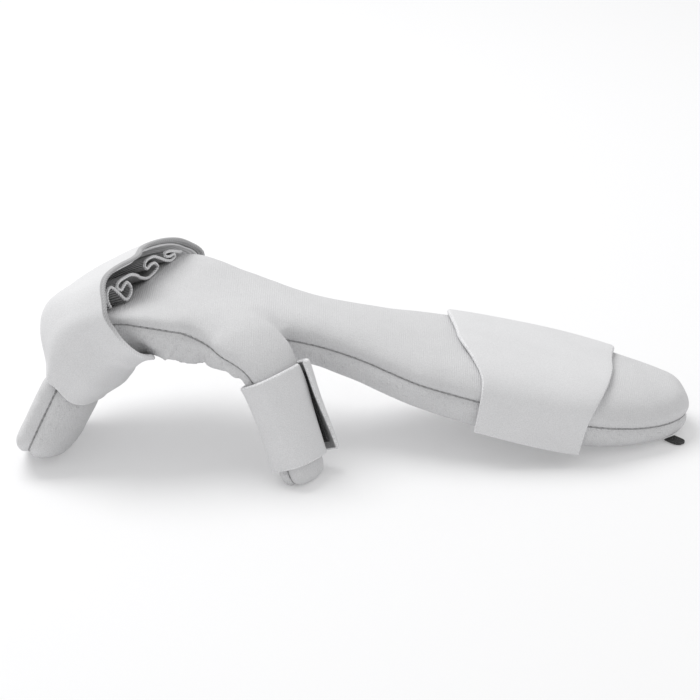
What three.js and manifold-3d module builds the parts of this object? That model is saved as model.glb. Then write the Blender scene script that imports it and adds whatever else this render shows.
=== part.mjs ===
// Night splint for a right hand and its fingers, lying by itself on a table.
// Millimetres, +Z up, +X towards the elbow, +Y towards the little finger.

import * as THREE from "three";
import Module from "manifold-3d";
import { mergeVertices } from "three/addons/utils/BufferGeometryUtils.js";

const wasm = await Module();
wasm.setup();

// Cloth walls, and the gaps that keep each piece its own solid
const STRAP_WALL = 2.6;
const LINING_WALL = 1;
const SEPARATOR_WALL = 1.2;
const HOOK_WALL = 0.9;
const PIECE_GAP = 0.75;
const BAND_GAP = 1;

// Outline of every padded section: 2 is an ellipse, more is squarer
const SQUARENESS = 3;
const PAD_SIDES = 36;
const THUMB_SIDES = 24;

// The pad from the fingertips to the forearm end, a row for each section: the middle of its seam line,
// half its width at the seam, how far it swells above and below the seam, how deep its top is dished for the
// hand, and the direction of its width, turned from +X towards +Y in degrees.
const PAD_SECTIONS = [
  { at: "fingertips", x: -171, y: -33, z: 0.5, halfWidth: 37, crown: 6.5, belly: 18, dish: 0, turn: 76 },
  { at: "finger middle", x: -150, y: -20, z: 41, halfWidth: 40, crown: 6, belly: 20, dish: 0, turn: 75 },
  { at: "finger roots", x: -135, y: -12, z: 63, halfWidth: 44, crown: 8.5, belly: 22, dish: 2, turn: 74 },
  { at: "knuckles", x: -114, y: -8, z: 75, halfWidth: 48, crown: 10.5, belly: 24, dish: 4, turn: 75 },
  { at: "palm", x: -86, y: -4, z: 76.5, halfWidth: 49.5, crown: 12, belly: 26, dish: 4.5, turn: 80 },
  { at: "heel of the hand", x: -58, y: -1, z: 69.5, halfWidth: 37, crown: 13, belly: 23, dish: 3, turn: 86 },
  { at: "wrist", x: -26, y: 0, z: 60, halfWidth: 27, crown: 13.5, belly: 16, dish: 1, turn: 90 },
  { at: "above the wrist", x: 2, y: 0, z: 52, halfWidth: 28.5, crown: 14.5, belly: 17, dish: 0, turn: 90 },
  { at: "lower forearm", x: 36, y: 0, z: 42, halfWidth: 41.5, crown: 16, belly: 19.5, dish: 0, turn: 90 },
  { at: "middle forearm", x: 70, y: 0, z: 34, halfWidth: 47.5, crown: 17, belly: 22, dish: 0, turn: 90 },
  { at: "under the strap", x: 112, y: 0, z: 23.5, halfWidth: 49, crown: 18, belly: 20.5, dish: 0, turn: 90 },
  { at: "upper forearm", x: 150, y: 0, z: 15, halfWidth: 41, crown: 17.5, belly: 16.5, dish: 0, turn: 90 },
  { at: "forearm end", x: 184, y: 0, z: 10.5, halfWidth: 37, crown: 14, belly: 10, dish: 0, turn: 90 },
];
const DISH_STEEPNESS = 4;
const FINGERTIP_ROUND = 10;
const FOREARM_ROUND = 52;
const EDGE_ROUND = 11;
const PAD_RINGS = { middle: 32, end: 7 };

// The thumb tongue from inside the palm to its tip, with the same columns
const THUMB_SECTIONS = [
  { at: "inside the palm", x: -77, y: -8, z: 72, halfWidth: 27, crown: 9, belly: 16, dish: 0, turn: 8 },
  { at: "palm edge", x: -62, y: -38, z: 71, halfWidth: 21.5, crown: 11, belly: 18, dish: 0, turn: 16 },
  { at: "bend", x: -44, y: -53, z: 60, halfWidth: 16, crown: 9, belly: 10, dish: 0, turn: 42 },
  { at: "middle", x: -33.8, y: -60, z: 33, halfWidth: 13.2, crown: 8, belly: 8, dish: 0, turn: 58 },
  { at: "tip", x: -22.8, y: -69.5, z: -2, halfWidth: 13.5, crown: 8, belly: 8, dish: 0, turn: 62 },
];
const THUMB_ROUND = 7;
const THUMB_RINGS = { middle: 12, end: 4 };

// The finger strap, a row for each direction round the pad: how far its two edges lie from the fingertips
// along the pad's middle line, and the room under its mouth. Degrees run from the little finger's side (0)
// over the back of the hand (90) to the thumb's side (180).
const FINGER_STRAP_EDGES = [
  { degrees: 0, distal: 46, proximal: 137, room: 2 },
  { degrees: 30, distal: 46, proximal: 130.5, room: 2.5 },
  { degrees: 60, distal: 46, proximal: 123, room: 5.5 },
  { degrees: 90, distal: 46, proximal: 107, room: 9 },
  { degrees: 120, distal: 46, proximal: 95, room: 11 },
  { degrees: 150, distal: 45.5, proximal: 91, room: 6 },
  { degrees: 180, distal: 42, proximal: 89.5, room: 5 },
  { degrees: 210, distal: 38, proximal: 96, room: 5 },
  { degrees: 240, distal: 38, proximal: 94, room: 4 },
  { degrees: 270, distal: 40.5, proximal: 88, room: 3 },
  { degrees: 300, distal: 43, proximal: 92, room: 2 },
  { degrees: 330, distal: 46, proximal: 114, room: 2 },
];
const FINGER_STRAP_STEPS = 8;
const NO_INSET = { distal: 0, proximal: 0 };
const LINING_INSET = { distal: 15, proximal: 2 };

// The share of that room at shares of the way from the distal edge to the mouth. Near the distal edge the
// strap is drawn in close all round.
const FINGER_ROOM = [
  { way: 0, room: 0 },
  { way: 0.25, room: 0.42 },
  { way: 0.5, room: 1 },
  { way: 0.75, room: 0.86 },
  { way: 1, room: 1 },
];
const FINGER_CINCH = { depth: 2.2, length: 14 };

// The finger separator's front edge, folded in waves from the first finger's side on: across is the place
// across the hand, and height is a share of the room under the finger strap.
const SEPARATOR_EDGE = [
  { across: -34, height: 0.03 },
  { across: -33.6, height: 0.5 },
  { across: -30.8, height: 0.84 },
  { across: -26.8, height: 0.92 },
  { across: -23.8, height: 0.5 },
  { across: -20.7, height: 0.06 },
  { across: -16, height: 0.16 },
  { across: -13.6, height: 0.42 },
  { across: -15.4, height: 0.72 },
  { across: -18.4, height: 0.66 },
  { across: -21.4, height: 0.54 },
  { across: -23.2, height: 0.74 },
  { across: -20.8, height: 0.92 },
  { across: -15.2, height: 0.97 },
  { across: -9.7, height: 0.93 },
  { across: -2.4, height: 0.66 },
  { across: 6, height: 0.3 },
  { across: 12.6, height: 0.03 },
  { across: 18.3, height: 0.03 },
  { across: 21.4, height: 0.2 },
  { across: 19.6, height: 0.54 },
  { across: 16.6, height: 0.58 },
  { across: 13.2, height: 0.5 },
  { across: 11.4, height: 0.74 },
  { across: 14, height: 0.93 },
  { across: 19.2, height: 0.95 },
  { across: 23.4, height: 0.68 },
  { across: 28, height: 0.26 },
  { across: 31.6, height: 0.03 },
  { across: 34.6, height: 0.14 },
  { across: 33.4, height: 0.5 },
  { across: 30, height: 0.48 },
  { across: 27, height: 0.66 },
  { across: 26.8, height: 0.93 },
  { across: 32, height: 0.93 },
  { across: 38, height: 0.6 },
  { across: 41.5, height: 0.5 },
];
const SEPARATOR_LENGTH = 30;
const SEPARATOR_SETBACK = 2.5;
const SEPARATOR_RINGS = 72;
const SEPARATOR_STEPS = 3;
const SEPARATOR_NUDGE = 0.02;

// The forearm strap, a row for each direction round the pad from the far hem on: how far its two edges lie
// from the forearm end along the pad's middle line. Past the thumb's side it leaves the pad and hangs free.
const FOREARM_STRAP_EDGES = [
  { degrees: -35, distal: 124, proximal: 51 },
  { degrees: -5, distal: 131, proximal: 45 },
  { degrees: 25, distal: 135, proximal: 43 },
  { degrees: 55, distal: 137, proximal: 42 },
  { degrees: 85, distal: 135, proximal: 46 },
  { degrees: 115, distal: 127, proximal: 51 },
  { degrees: 145, distal: 121, proximal: 56 },
  { degrees: 175, distal: 119, proximal: 60 },
  { degrees: 205, distal: 118, proximal: 61 },
];
const FREE_END = { fromDegrees: 175, hang: 19, flare: 2 };
const FOREARM_STRAP_STEPS = 8;

// The thumb strap winds round the tongue from the elbow's side over the front, and its end stands off. Both
// ends are cut on a slant: they have one direction at the edge next to the hand and one next to the tip.
const THUMB_STRAP = { from: 67, to: 116, rings: 26, steps: 5 };
const THUMB_STRAP_START = { root: 62, tip: 8 };
const THUMB_STRAP_END = { root: 425, tip: 400 };
const THUMB_FLAP = { fromDegrees: 307.5, rootLift: 3.6, tipLift: 6.8 };
const THUMB_HOOK = { insetShare: 0.1, rings: 3 };
const THUMB_HOOK_START = { root: 367.5, tip: 367.5 };
const THUMB_HOOK_END = { root: 400, tip: 395 };

const CLOSURE_TAB = { length: 10, width: 8, wall: 1.2, x: 172.5, y: -17, z: 0.2, turnDegrees: -50 };
const CLOSURE_TAB_SEGMENTS = 8;

// The tables' own zero is moved to the middle of the base
const BASE_SHIFT = { x: -4.59, y: 15.2, z: 0 };

const FABRIC_GREY = 0xdedede;
const LINING_GREY = 0x8b8b8b;
const SEPARATOR_GREY = 0x6f6f6f;
const HOOK_GREY = 0x3a3a3a;
const CLOTH_ROUGHNESS = 0.9;

const { clamp, lerp, degToRad, radToDeg, smoothstep } = THREE.MathUtils;
const steps = (count) => Array.from({ length: count + 1 }, (_, i) => i / count);
const smoothLine = (points, closed = false) => new THREE.CatmullRomCurve3(points, closed, "catmullrom", 0.5);

// Rises from 0 to 1 like a quarter circle.
const roundOff = (share) => Math.sqrt(1 - (1 - clamp(share, 0, 1)) ** 2);

// A limb of the pad: a smooth middle line with a section that changes along it.
function makeLimb(sections, startRound, endRound) {
  const line = smoothLine(sections.map((row) => new THREE.Vector3(row.x, row.y, row.z)));
  const size = smoothLine(sections.map((row) => new THREE.Vector3(row.halfWidth, row.crown, row.belly)));
  const width = smoothLine(
    sections.map((row) => new THREE.Vector3(Math.cos(degToRad(row.turn)), Math.sin(degToRad(row.turn)), 0)),
  );
  const hollow = smoothLine(sections.map((row) => new THREE.Vector3(row.dish, 0, 0)));
  return { line, size, width, hollow, startRound, endRound, length: line.getLength() };
}

// The place, directions and sizes of a limb's section at a distance along its middle line.
function sectionAt(limb, distance) {
  const t = limb.line.getUtoTmapping(distance / limb.length);
  const along = limb.line.getTangent(t);
  const across = limb.width.getPoint(t);
  across.addScaledVector(along, -across.dot(along)).normalize();
  const out = along.clone().cross(across);
  const size = limb.size.getPoint(t);
  const toEnd = limb.length - distance;
  const plan = roundOff(distance / limb.startRound) * roundOff(toEnd / limb.endRound);
  const edge = roundOff(distance / EDGE_ROUND) * roundOff(toEnd / EDGE_ROUND);
  return {
    middle: limb.line.getPoint(t),
    across,
    out,
    halfWidth: size.x * plan,
    crown: size.y * edge,
    belly: size.z * edge,
    dish: limb.hollow.getPoint(t).x,
  };
}

const squared = (value) => Math.sign(value) * Math.abs(value) ** (2 / SQUARENESS);

// A point on a section's outline, moved out by a gap, with more room over its crown.
function outlinePoint(section, degrees, gap = 0, room = 0) {
  const cos = Math.cos(degToRad(degrees));
  const sin = Math.sin(degToRad(degrees));
  const depth = sin > 0 ? section.crown + room : section.belly;
  return section.middle
    .clone()
    .addScaledVector(section.across, squared(cos) * (section.halfWidth + gap))
    .addScaledVector(section.out, squared(sin) * (depth + gap));
}

// How deep a section's top is dished in a direction round it.
function dishAt(section, degrees) {
  const upward = Math.max(Math.sin(degToRad(degrees)), 0);
  return section.dish * upward ** DISH_STEEPNESS;
}

// A closed solid through rings of points. The rings are joined end to end, or each end is closed by pairing
// the points of its ring from both sides.
function ringSolid(rings, endToEnd) {
  const count = rings[0].length;
  const indices = [];
  const quad = (a, b, c, d) => indices.push(a, b, c, a, c, d);
  const joins = endToEnd ? rings.length : rings.length - 1;
  for (let ring = 0; ring < joins; ring += 1) {
    const here = ring * count;
    const there = ((ring + 1) % rings.length) * count;
    for (let k = 0; k < count; k += 1) {
      const next = (k + 1) % count;
      quad(here + k, here + next, there + next, there + k);
    }
  }
  if (!endToEnd) {
    const last = (rings.length - 1) * count;
    for (let k = 0; k < count / 2 - 1; k += 1) {
      quad(count - 1 - k, count - 2 - k, k + 1, k);
      quad(last + k, last + k + 1, last + count - 2 - k, last + count - 1 - k);
    }
  }
  const geometry = new THREE.BufferGeometry().setFromPoints(rings.flat());
  geometry.setIndex(facesOut(rings.flat(), indices) ? indices : indices.reverse());
  return geometry;
}

function facesOut(points, indices) {
  let volume = 0;
  for (let i = 0; i < indices.length; i += 3) {
    const [a, b, c] = [points[indices[i]], points[indices[i + 1]], points[indices[i + 2]]];
    volume += a.dot(b.clone().cross(c));
  }
  return volume > 0;
}

// The ring of a wall: points on its outer face from edge to edge, and back on its inner face.
function wallRing(pointAt, stepCount, inner, wall) {
  const shares = steps(stepCount);
  const outside = shares.map((share) => pointAt(share, inner + wall));
  const inside = shares.map((share) => pointAt(share, inner));
  return [...outside, ...inside.reverse()];
}

// A smooth reading of one column of a table, at a share of the way through its rows.
function readTable(rows, column, share, closed) {
  return smoothLine(rows.map((row) => new THREE.Vector3(row[column], 0, 0)), closed).getPoint(share).x;
}

// Distances along a limb for its rings, closer together where its ends round off.
function ringDistances(limb, rings) {
  const tip = 0.3;
  const ease = (share) => 1 - Math.cos((share * Math.PI) / 2);
  const start = steps(rings.end).map((share) => Math.max(limb.startRound * ease(share), tip));
  const end = steps(rings.end).map((share) => limb.length - Math.max(limb.endRound * ease(share), tip));
  const middle = steps(rings.middle).slice(1, -1).map((share) => lerp(start.at(-1), end.at(-1), share));
  return [...start, ...middle, ...end.reverse()];
}

// A limb as a solid. What would sink into the table lies flat on it.
function limbSolid(limb, sides, ringCounts) {
  const turn = 360 / sides;
  const rings = ringDistances(limb, ringCounts).map((distance) => {
    const section = sectionAt(limb, distance);
    return Array.from({ length: sides }, (_, k) => {
      const degrees = (k + 0.5) * turn - 90;
      const point = outlinePoint(section, degrees, 0, -dishAt(section, degrees));
      return point.setZ(Math.max(point.z, 0));
    });
  });
  const geometry = mergeVertices(ringSolid(rings, false));
  return new wasm.Manifold(
    new wasm.Mesh({
      numProp: 3,
      vertProperties: geometry.getAttribute("position").array,
      triVerts: new Uint32Array(geometry.getIndex().array),
    }),
  );
}

const pad = makeLimb(PAD_SECTIONS, FINGERTIP_ROUND, FOREARM_ROUND);
const thumb = makeLimb(THUMB_SECTIONS, THUMB_ROUND, THUMB_ROUND);

// The padded rest: the long pad with the thumb tongue grown out of its near edge.
function padBody() {
  const joined = limbSolid(pad, PAD_SIDES, PAD_RINGS).add(limbSolid(thumb, THUMB_SIDES, THUMB_RINGS));
  const mesh = joined.getMesh();
  const geometry = new THREE.BufferGeometry();
  geometry.setAttribute("position", new THREE.BufferAttribute(mesh.vertProperties, 3));
  geometry.setIndex(new THREE.BufferAttribute(mesh.triVerts, 1));
  return geometry;
}

// The finger strap's edges and the room under it, in a direction round the pad.
const fingerStrapEdge = (edge, degrees) => readTable(FINGER_STRAP_EDGES, edge, degrees / 360, true);

function fingerRoom(degrees, distance) {
  const distal = fingerStrapEdge("distal", degrees);
  const proximal = fingerStrapEdge("proximal", degrees);
  const way = clamp((distance - distal) / (proximal - distal), 0, 1);
  return fingerStrapEdge("room", degrees) * readTable(FINGER_ROOM, "room", way, false);
}

// A band round the finger part of the pad, a gap away from it, with its edges drawn in by an inset.
function fingerBand(inner, wall, inset) {
  const turn = 360 / PAD_SIDES;
  const rings = Array.from({ length: PAD_SIDES }, (_, k) => {
    const degrees = (k + 0.5) * turn;
    const edge = fingerStrapEdge("distal", degrees);
    const distal = edge + inset.distal;
    const proximal = fingerStrapEdge("proximal", degrees) - inset.proximal;
    const pointAt = (share, gap) => {
      const distance = lerp(distal, proximal, share);
      const cinch = FINGER_CINCH.depth * (1 - smoothstep(distance - edge, 0, FINGER_CINCH.length));
      return outlinePoint(sectionAt(pad, distance), degrees, gap - cinch, fingerRoom(degrees, distance));
    };
    return wallRing(pointAt, FINGER_STRAP_STEPS, inner, wall);
  });
  return ringSolid(rings, true);
}

const LINING_INSIDE = BAND_GAP;
const FINGER_STRAP_INSIDE = LINING_INSIDE + LINING_WALL + BAND_GAP;

// The separator's wave seen from the wrist: x across the hand, y as a share of the room.
const separatorWave = () => {
  const points = SEPARATOR_EDGE.map((row) => new THREE.Vector3(row.across, row.height, 0));
  return smoothLine(points);
};

// How far the pad's top and the lining's inner face lie out from the seam line, over a place across the hand.
function heightsOver(section, across, distance) {
  const reach = clamp(across / (section.halfWidth + LINING_INSIDE), -1, 1);
  const degrees = radToDeg(Math.acos(Math.sign(reach) * Math.abs(reach) ** (SQUARENESS / 2)));
  const rise = squared(Math.sin(degToRad(degrees)));
  const room = fingerRoom(degrees, distance);
  const top = rise * (section.crown - dishAt(section, degrees));
  return { top, roof: rise * (section.crown + room + LINING_INSIDE) };
}

// The folded strip that parts the fingers, standing on the pad under the finger strap.
function fingerSeparator() {
  const line = separatorWave().getPoints(SEPARATOR_RINGS);
  const clearance = PIECE_GAP + SEPARATOR_WALL / 2;
  const placeOf = (across, height, share) => {
    const mouth = mouthDistance(across) - SEPARATOR_SETBACK;
    const distance = mouth - share * SEPARATOR_LENGTH;
    const section = sectionAt(pad, distance);
    const { top, roof } = heightsOver(section, across, distance);
    const lift = lerp(top + clearance, roof - clearance, height);
    return section.middle.clone().addScaledVector(section.across, across).addScaledVector(section.out, lift);
  };
  const rings = line.map((place, i) => {
    const before = line[Math.max(i - 1, 0)];
    const after = line[Math.min(i + 1, line.length - 1)];
    const pointAt = (share, gap) => {
      const here = placeOf(place.x, place.y, share);
      const ahead = placeOf(after.x, after.y, share).sub(placeOf(before.x, before.y, share));
      const inwards = placeOf(place.x, place.y, share + SEPARATOR_NUDGE).sub(here);
      return here.addScaledVector(ahead.cross(inwards).normalize(), gap);
    };
    return wallRing(pointAt, SEPARATOR_STEPS, -SEPARATOR_WALL / 2, SEPARATOR_WALL);
  });
  return ringSolid(rings, false);
}

// Where the finger strap's mouth lies along the pad, above a place across the hand.
function mouthDistance(across) {
  const handWidth = PAD_SECTIONS.find((row) => row.at === "knuckles").halfWidth;
  const reach = clamp(across / handWidth, -1, 1);
  const degrees = radToDeg(Math.acos(Math.sign(reach) * Math.abs(reach) ** (SQUARENESS / 2)));
  return fingerStrapEdge("proximal", degrees);
}

// The broad strap over the forearm part, lying close on the pad, with its free end hanging at the near side.
function forearmStrap() {
  const turn = 360 / PAD_SIDES;
  const first = FOREARM_STRAP_EDGES[0].degrees;
  const last = FOREARM_STRAP_EDGES.at(-1).degrees;
  const rings = steps((last - first) / turn).map((share) => {
    const degrees = lerp(first, last, share);
    const hanging = Math.max(degrees - FREE_END.fromDegrees, 0) / (last - FREE_END.fromDegrees);
    const distal = readTable(FOREARM_STRAP_EDGES, "distal", share, false);
    const proximal = readTable(FOREARM_STRAP_EDGES, "proximal", share, false);
    const pointAt = (width, gap) => {
      const section = sectionAt(pad, pad.length - lerp(distal, proximal, width));
      return outlinePoint(section, Math.min(degrees, FREE_END.fromDegrees), gap)
        .addScaledVector(section.out, -FREE_END.hang * hanging)
        .addScaledVector(section.across, -FREE_END.flare * hanging);
    };
    return wallRing(pointAt, FOREARM_STRAP_STEPS, PIECE_GAP, STRAP_WALL);
  });
  return ringSolid(rings, false);
}

// A wall wound round the thumb tongue between two slanting ends, standing off towards the strap's end. Its
// two edges are drawn in by a share of the strap's width.
function thumbWrap(start, end, ringCount, insetShare, inner, wall) {
  const slanting = (edge, width) => lerp(edge.root, edge.tip, width);
  const rings = steps(ringCount).map((share) => {
    const pointAt = (edgeShare, gap) => {
      const width = lerp(insetShare, 1 - insetShare, edgeShare);
      const degrees = lerp(slanting(start, width), slanting(end, width), share);
      const opening = smoothstep(degrees, THUMB_FLAP.fromDegrees, slanting(THUMB_STRAP_END, width));
      const lift = opening * lerp(THUMB_FLAP.rootLift, THUMB_FLAP.tipLift, width);
      const section = sectionAt(thumb, lerp(THUMB_STRAP.from, THUMB_STRAP.to, width));
      return outlinePoint(section, degrees, gap + lift);
    };
    return wallRing(pointAt, THUMB_STRAP.steps, inner, wall);
  });
  return ringSolid(rings, false);
}

function thumbStrap() {
  return thumbWrap(THUMB_STRAP_START, THUMB_STRAP_END, THUMB_STRAP.rings, 0, BAND_GAP, STRAP_WALL);
}

function thumbStrapHook() {
  const { rings, insetShare } = THUMB_HOOK;
  const inner = BAND_GAP - PIECE_GAP - HOOK_WALL;
  return thumbWrap(THUMB_HOOK_START, THUMB_HOOK_END, rings, insetShare, inner, HOOK_WALL);
}

// A small tab with a round end, lying under the forearm end.
function closureTab() {
  const { length, width, wall, x, y, z, turnDegrees } = CLOSURE_TAB;
  const round = width / 2;
  const shape = new THREE.Shape();
  shape.moveTo(0, -round);
  shape.lineTo(length - round, -round);
  shape.absarc(length - round, 0, round, -Math.PI / 2, Math.PI / 2, false);
  shape.lineTo(0, round);
  const extrusion = { depth: wall, bevelEnabled: false, curveSegments: CLOSURE_TAB_SEGMENTS };
  return new THREE.ExtrudeGeometry(shape, extrusion).rotateZ(degToRad(turnDegrees)).translate(x, y, z);
}

const splint = new THREE.Group();

function addPiece(name, geometry, color) {
  const material = new THREE.MeshStandardMaterial({ color, roughness: CLOTH_ROUGHNESS, metalness: 0 });
  const mesh = new THREE.Mesh(geometry, material);
  mesh.name = name;
  mesh.position.set(BASE_SHIFT.x, BASE_SHIFT.y, BASE_SHIFT.z);
  splint.add(mesh);
}

addPiece("pad_body", padBody(), FABRIC_GREY);
addPiece("finger_strap", fingerBand(FINGER_STRAP_INSIDE, STRAP_WALL, NO_INSET), FABRIC_GREY);
addPiece("finger_strap_lining", fingerBand(LINING_INSIDE, LINING_WALL, LINING_INSET), LINING_GREY);
addPiece("finger_separator", fingerSeparator(), SEPARATOR_GREY);
addPiece("forearm_strap", forearmStrap(), FABRIC_GREY);
addPiece("thumb_strap", thumbStrap(), FABRIC_GREY);
addPiece("thumb_strap_hook", thumbStrapHook(), HOOK_GREY);
addPiece("closure_tab", closureTab(), HOOK_GREY);

export default splint;
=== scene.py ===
# %% [markdown]
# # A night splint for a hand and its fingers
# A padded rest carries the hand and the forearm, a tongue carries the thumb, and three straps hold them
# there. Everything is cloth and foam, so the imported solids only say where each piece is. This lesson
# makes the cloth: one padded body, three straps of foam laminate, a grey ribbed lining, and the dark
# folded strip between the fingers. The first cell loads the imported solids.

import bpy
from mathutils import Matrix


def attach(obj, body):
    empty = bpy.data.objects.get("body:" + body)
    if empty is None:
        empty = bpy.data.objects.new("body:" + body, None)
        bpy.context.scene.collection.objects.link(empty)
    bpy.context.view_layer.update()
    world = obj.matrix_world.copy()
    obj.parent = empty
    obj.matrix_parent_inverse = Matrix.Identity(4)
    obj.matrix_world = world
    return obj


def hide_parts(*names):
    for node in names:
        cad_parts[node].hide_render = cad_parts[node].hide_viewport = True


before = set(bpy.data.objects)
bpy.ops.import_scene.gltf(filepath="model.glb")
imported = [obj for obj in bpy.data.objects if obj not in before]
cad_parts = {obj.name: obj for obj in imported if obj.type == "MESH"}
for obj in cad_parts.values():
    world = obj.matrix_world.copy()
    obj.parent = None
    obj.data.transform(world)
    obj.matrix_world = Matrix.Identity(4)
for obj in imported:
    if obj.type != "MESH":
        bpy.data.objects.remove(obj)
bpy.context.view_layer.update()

import math

import bpy
import numpy as np
from mathutils import Vector, kdtree, noise
from mathutils.bvhtree import BVHTree

MM = 0.001


print("packed pieces:", sorted(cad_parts))

# %% [markdown]
# ## The pad's sizes
# The pad is one long limb with a short one, the thumb tongue, growing out of it. A limb is a smooth
# middle line with a section that changes along it. Two tables hold the sections, in millimetres: the
# middle of the seam line, half the width, how far the padding swells above and below the seam, how deep
# its top is dished for the hand, and the direction of the width in degrees from +X. They could be
# modelled by hand from a cube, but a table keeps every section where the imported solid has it. The base
# shift moves the tables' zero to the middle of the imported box.

# %% Sections of the pad and the thumb tongue
BASE_SHIFT = np.array([-4.59, 15.2, 0.0])
PAD_SECTIONS = [
    # x, y, z, half width, crown, belly, dish, turn
    (-171, -33, 0.5, 37, 6.5, 18, 0, 76),
    (-150, -20, 41, 40, 6, 20, 0, 75),
    (-135, -12, 63, 44, 8.5, 22, 2, 74),
    (-114, -8, 75, 48, 10.5, 24, 4, 75),
    (-86, -4, 76.5, 49.5, 12, 26, 4.5, 80),
    (-58, -1, 69.5, 37, 13, 23, 3, 86),
    (-26, 0, 60, 27, 13.5, 16, 1, 90),
    (2, 0, 52, 28.5, 14.5, 17, 0, 90),
    (36, 0, 42, 41.5, 16, 19.5, 0, 90),
    (70, 0, 34, 47.5, 17, 22, 0, 90),
    (112, 0, 23.5, 49, 18, 20.5, 0, 90),
    (150, 0, 15, 41, 17.5, 16.5, 0, 90),
    (184, 0, 10.5, 37, 14, 10, 0, 90),
]
THUMB_SECTIONS = [
    # x, y, z, half width, crown, belly, dish, turn
    (-77, -8, 72, 27, 9, 16, 0, 8),
    (-62, -38, 71, 21.5, 11, 18, 0, 16),
    (-44, -53, 60, 16, 9, 10, 0, 42),
    (-33.8, -60, 33, 13.2, 8, 8, 0, 58),
    (-22.8, -69.5, -2, 13.5, 8, 8, 0, 62),
]
FINGERTIP_ROUND = 10
FOREARM_ROUND = 52
THUMB_ROUND = 7
EDGE_ROUND = 11
SQUARENESS = 3
DISH_STEEPNESS = 4
print("sections: %d of the pad, %d of the thumb tongue" % (len(PAD_SECTIONS), len(THUMB_SECTIONS)))


# %% [markdown]
# ## Smooth lines and limbs
# A Catmull-Rom line runs through every point of a table, so the table can be read like a row of tailor's
# measurements. Each limb gives its section at any distance along the line, and a point of its outline in
# any direction: 0 degrees is the little finger's side, 90 the back of the hand, 180 the thumb's side and
# 270 underneath.

# %% Smooth lines
def smooth_line(points, shares, closed=False):
    """Points of a Catmull-Rom line through a table, at shares from 0 to 1 of its run."""
    points = np.asarray(points, float)
    count = len(points)
    spans = count if closed else count - 1
    if closed:
        padded = points[np.arange(-1, count + 2) % count]
    else:
        padded = np.concatenate([[2 * points[0] - points[1]], points, [2 * points[-1] - points[-2]]])
    place = np.clip(np.asarray(shares, float), 0, 1) * spans
    start = np.minimum(place.astype(int), spans - 1)
    rest = place - start
    a, b, c, d = (padded[start + k] for k in range(4))
    rest = rest.reshape(rest.shape + (1,) * (points.ndim - 1))
    leave, arrive = (c - a) / 2, (d - b) / 2
    return (
        (2 * b - 2 * c + leave + arrive) * rest**3
        + (3 * c - 3 * b - 2 * leave - arrive) * rest**2
        + leave * rest
        + b
    )


def run_along(line):
    """How far each point of a line is from its start, along the line."""
    steps = np.linalg.norm(np.diff(line, axis=0), axis=1)
    return np.concatenate([[0], np.cumsum(steps)])


def unit(vectors):
    return vectors / np.linalg.norm(vectors, axis=-1, keepdims=True)


def round_off(share):
    """Rises from 0 to 1 like a quarter circle."""
    return np.sqrt(1 - (1 - np.clip(share, 0, 1)) ** 2)


def squared(value):
    """Turns a sine or a cosine into that of a rounded square."""
    return np.sign(value) * np.abs(value) ** (2 / SQUARENESS)


def ease(share):
    """Rises from 0 to 1 with soft ends."""
    share = np.clip(share, 0, 1)
    return share * share * (3 - 2 * share)


def window(value, start, rise, end, fall):
    """Eases up from a start over a rise, and down to an end over a fall."""
    return ease((value - start) / rise) * ease((end - value) / fall)


# %% Limbs
class Limb:
    """A padded limb: a smooth middle line with a section that changes along it, in millimetres."""

    def __init__(self, rows, start_round, end_round, samples=4001):
        rows = np.array(rows, float)
        turn = np.radians(rows[:, 7])
        self.line = rows[:, :3] + BASE_SHIFT
        self.size = rows[:, 3:7]
        self.width = np.stack([np.cos(turn), np.sin(turn), 0 * turn], axis=1)
        self.rounds = (start_round, end_round)
        self.shares = np.linspace(0, 1, samples)
        self.run = run_along(smooth_line(self.line, self.shares))
        self.length = self.run[-1]

    def section(self, distance):
        """Middle, across, out, and half width, crown, belly and dish at a distance along the limb."""
        share = np.interp(distance, self.run, self.shares)
        nudge = 1e-4
        ahead = smooth_line(self.line, np.minimum(share + nudge, 1))
        along = unit(ahead - smooth_line(self.line, np.maximum(share - nudge, 0)))
        across = smooth_line(self.width, share)
        across = unit(across - along * np.sum(across * along, axis=-1, keepdims=True))
        out = np.cross(along, across)
        to_end = self.length - distance
        plan = round_off(distance / self.rounds[0]) * round_off(to_end / self.rounds[1])
        edge = round_off(distance / EDGE_ROUND) * round_off(to_end / EDGE_ROUND)
        size = smooth_line(self.size, share)
        half_width, crown, belly, dish = (size[..., k] for k in range(4))
        middle = smooth_line(self.line, share)
        return middle, across, out, half_width * plan, crown * edge, belly * edge, dish

    def outline(self, distance, degrees, gap=0.0, room=0.0):
        """A point of the outline, moved out by a gap, with more room over its crown."""
        distance, degrees, gap, room = np.broadcast_arrays(distance, degrees, gap, room)
        middle, across, out, half_width, crown, belly, _ = self.section(distance)
        cos, sin = np.cos(np.radians(degrees)), np.sin(np.radians(degrees))
        depth = np.where(sin > 0, crown + room, belly)
        sideways = across * (squared(cos) * (half_width + gap))[..., None]
        return middle + sideways + out * (squared(sin) * (depth + gap))[..., None]

    def dish(self, distance, degrees):
        """How deep the top is dished, in a direction round the limb."""
        upward = np.maximum(np.sin(np.radians(degrees)), 0)
        return self.section(distance)[-1] * upward**DISH_STEEPNESS


pad = Limb(PAD_SECTIONS, FINGERTIP_ROUND, FOREARM_ROUND)
thumb = Limb(THUMB_SECTIONS, THUMB_ROUND, THUMB_ROUND)
print("pad length %.1f mm, thumb tongue length %.1f mm" % (pad.length, thumb.length))

# %% [markdown]
# ## Where the straps lie
# The straps are cut to shape, so each has a table of its two edges for every direction round the pad: how
# far they lie along the pad's middle line. The same table says which part of the padding a strap presses
# on.

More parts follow.
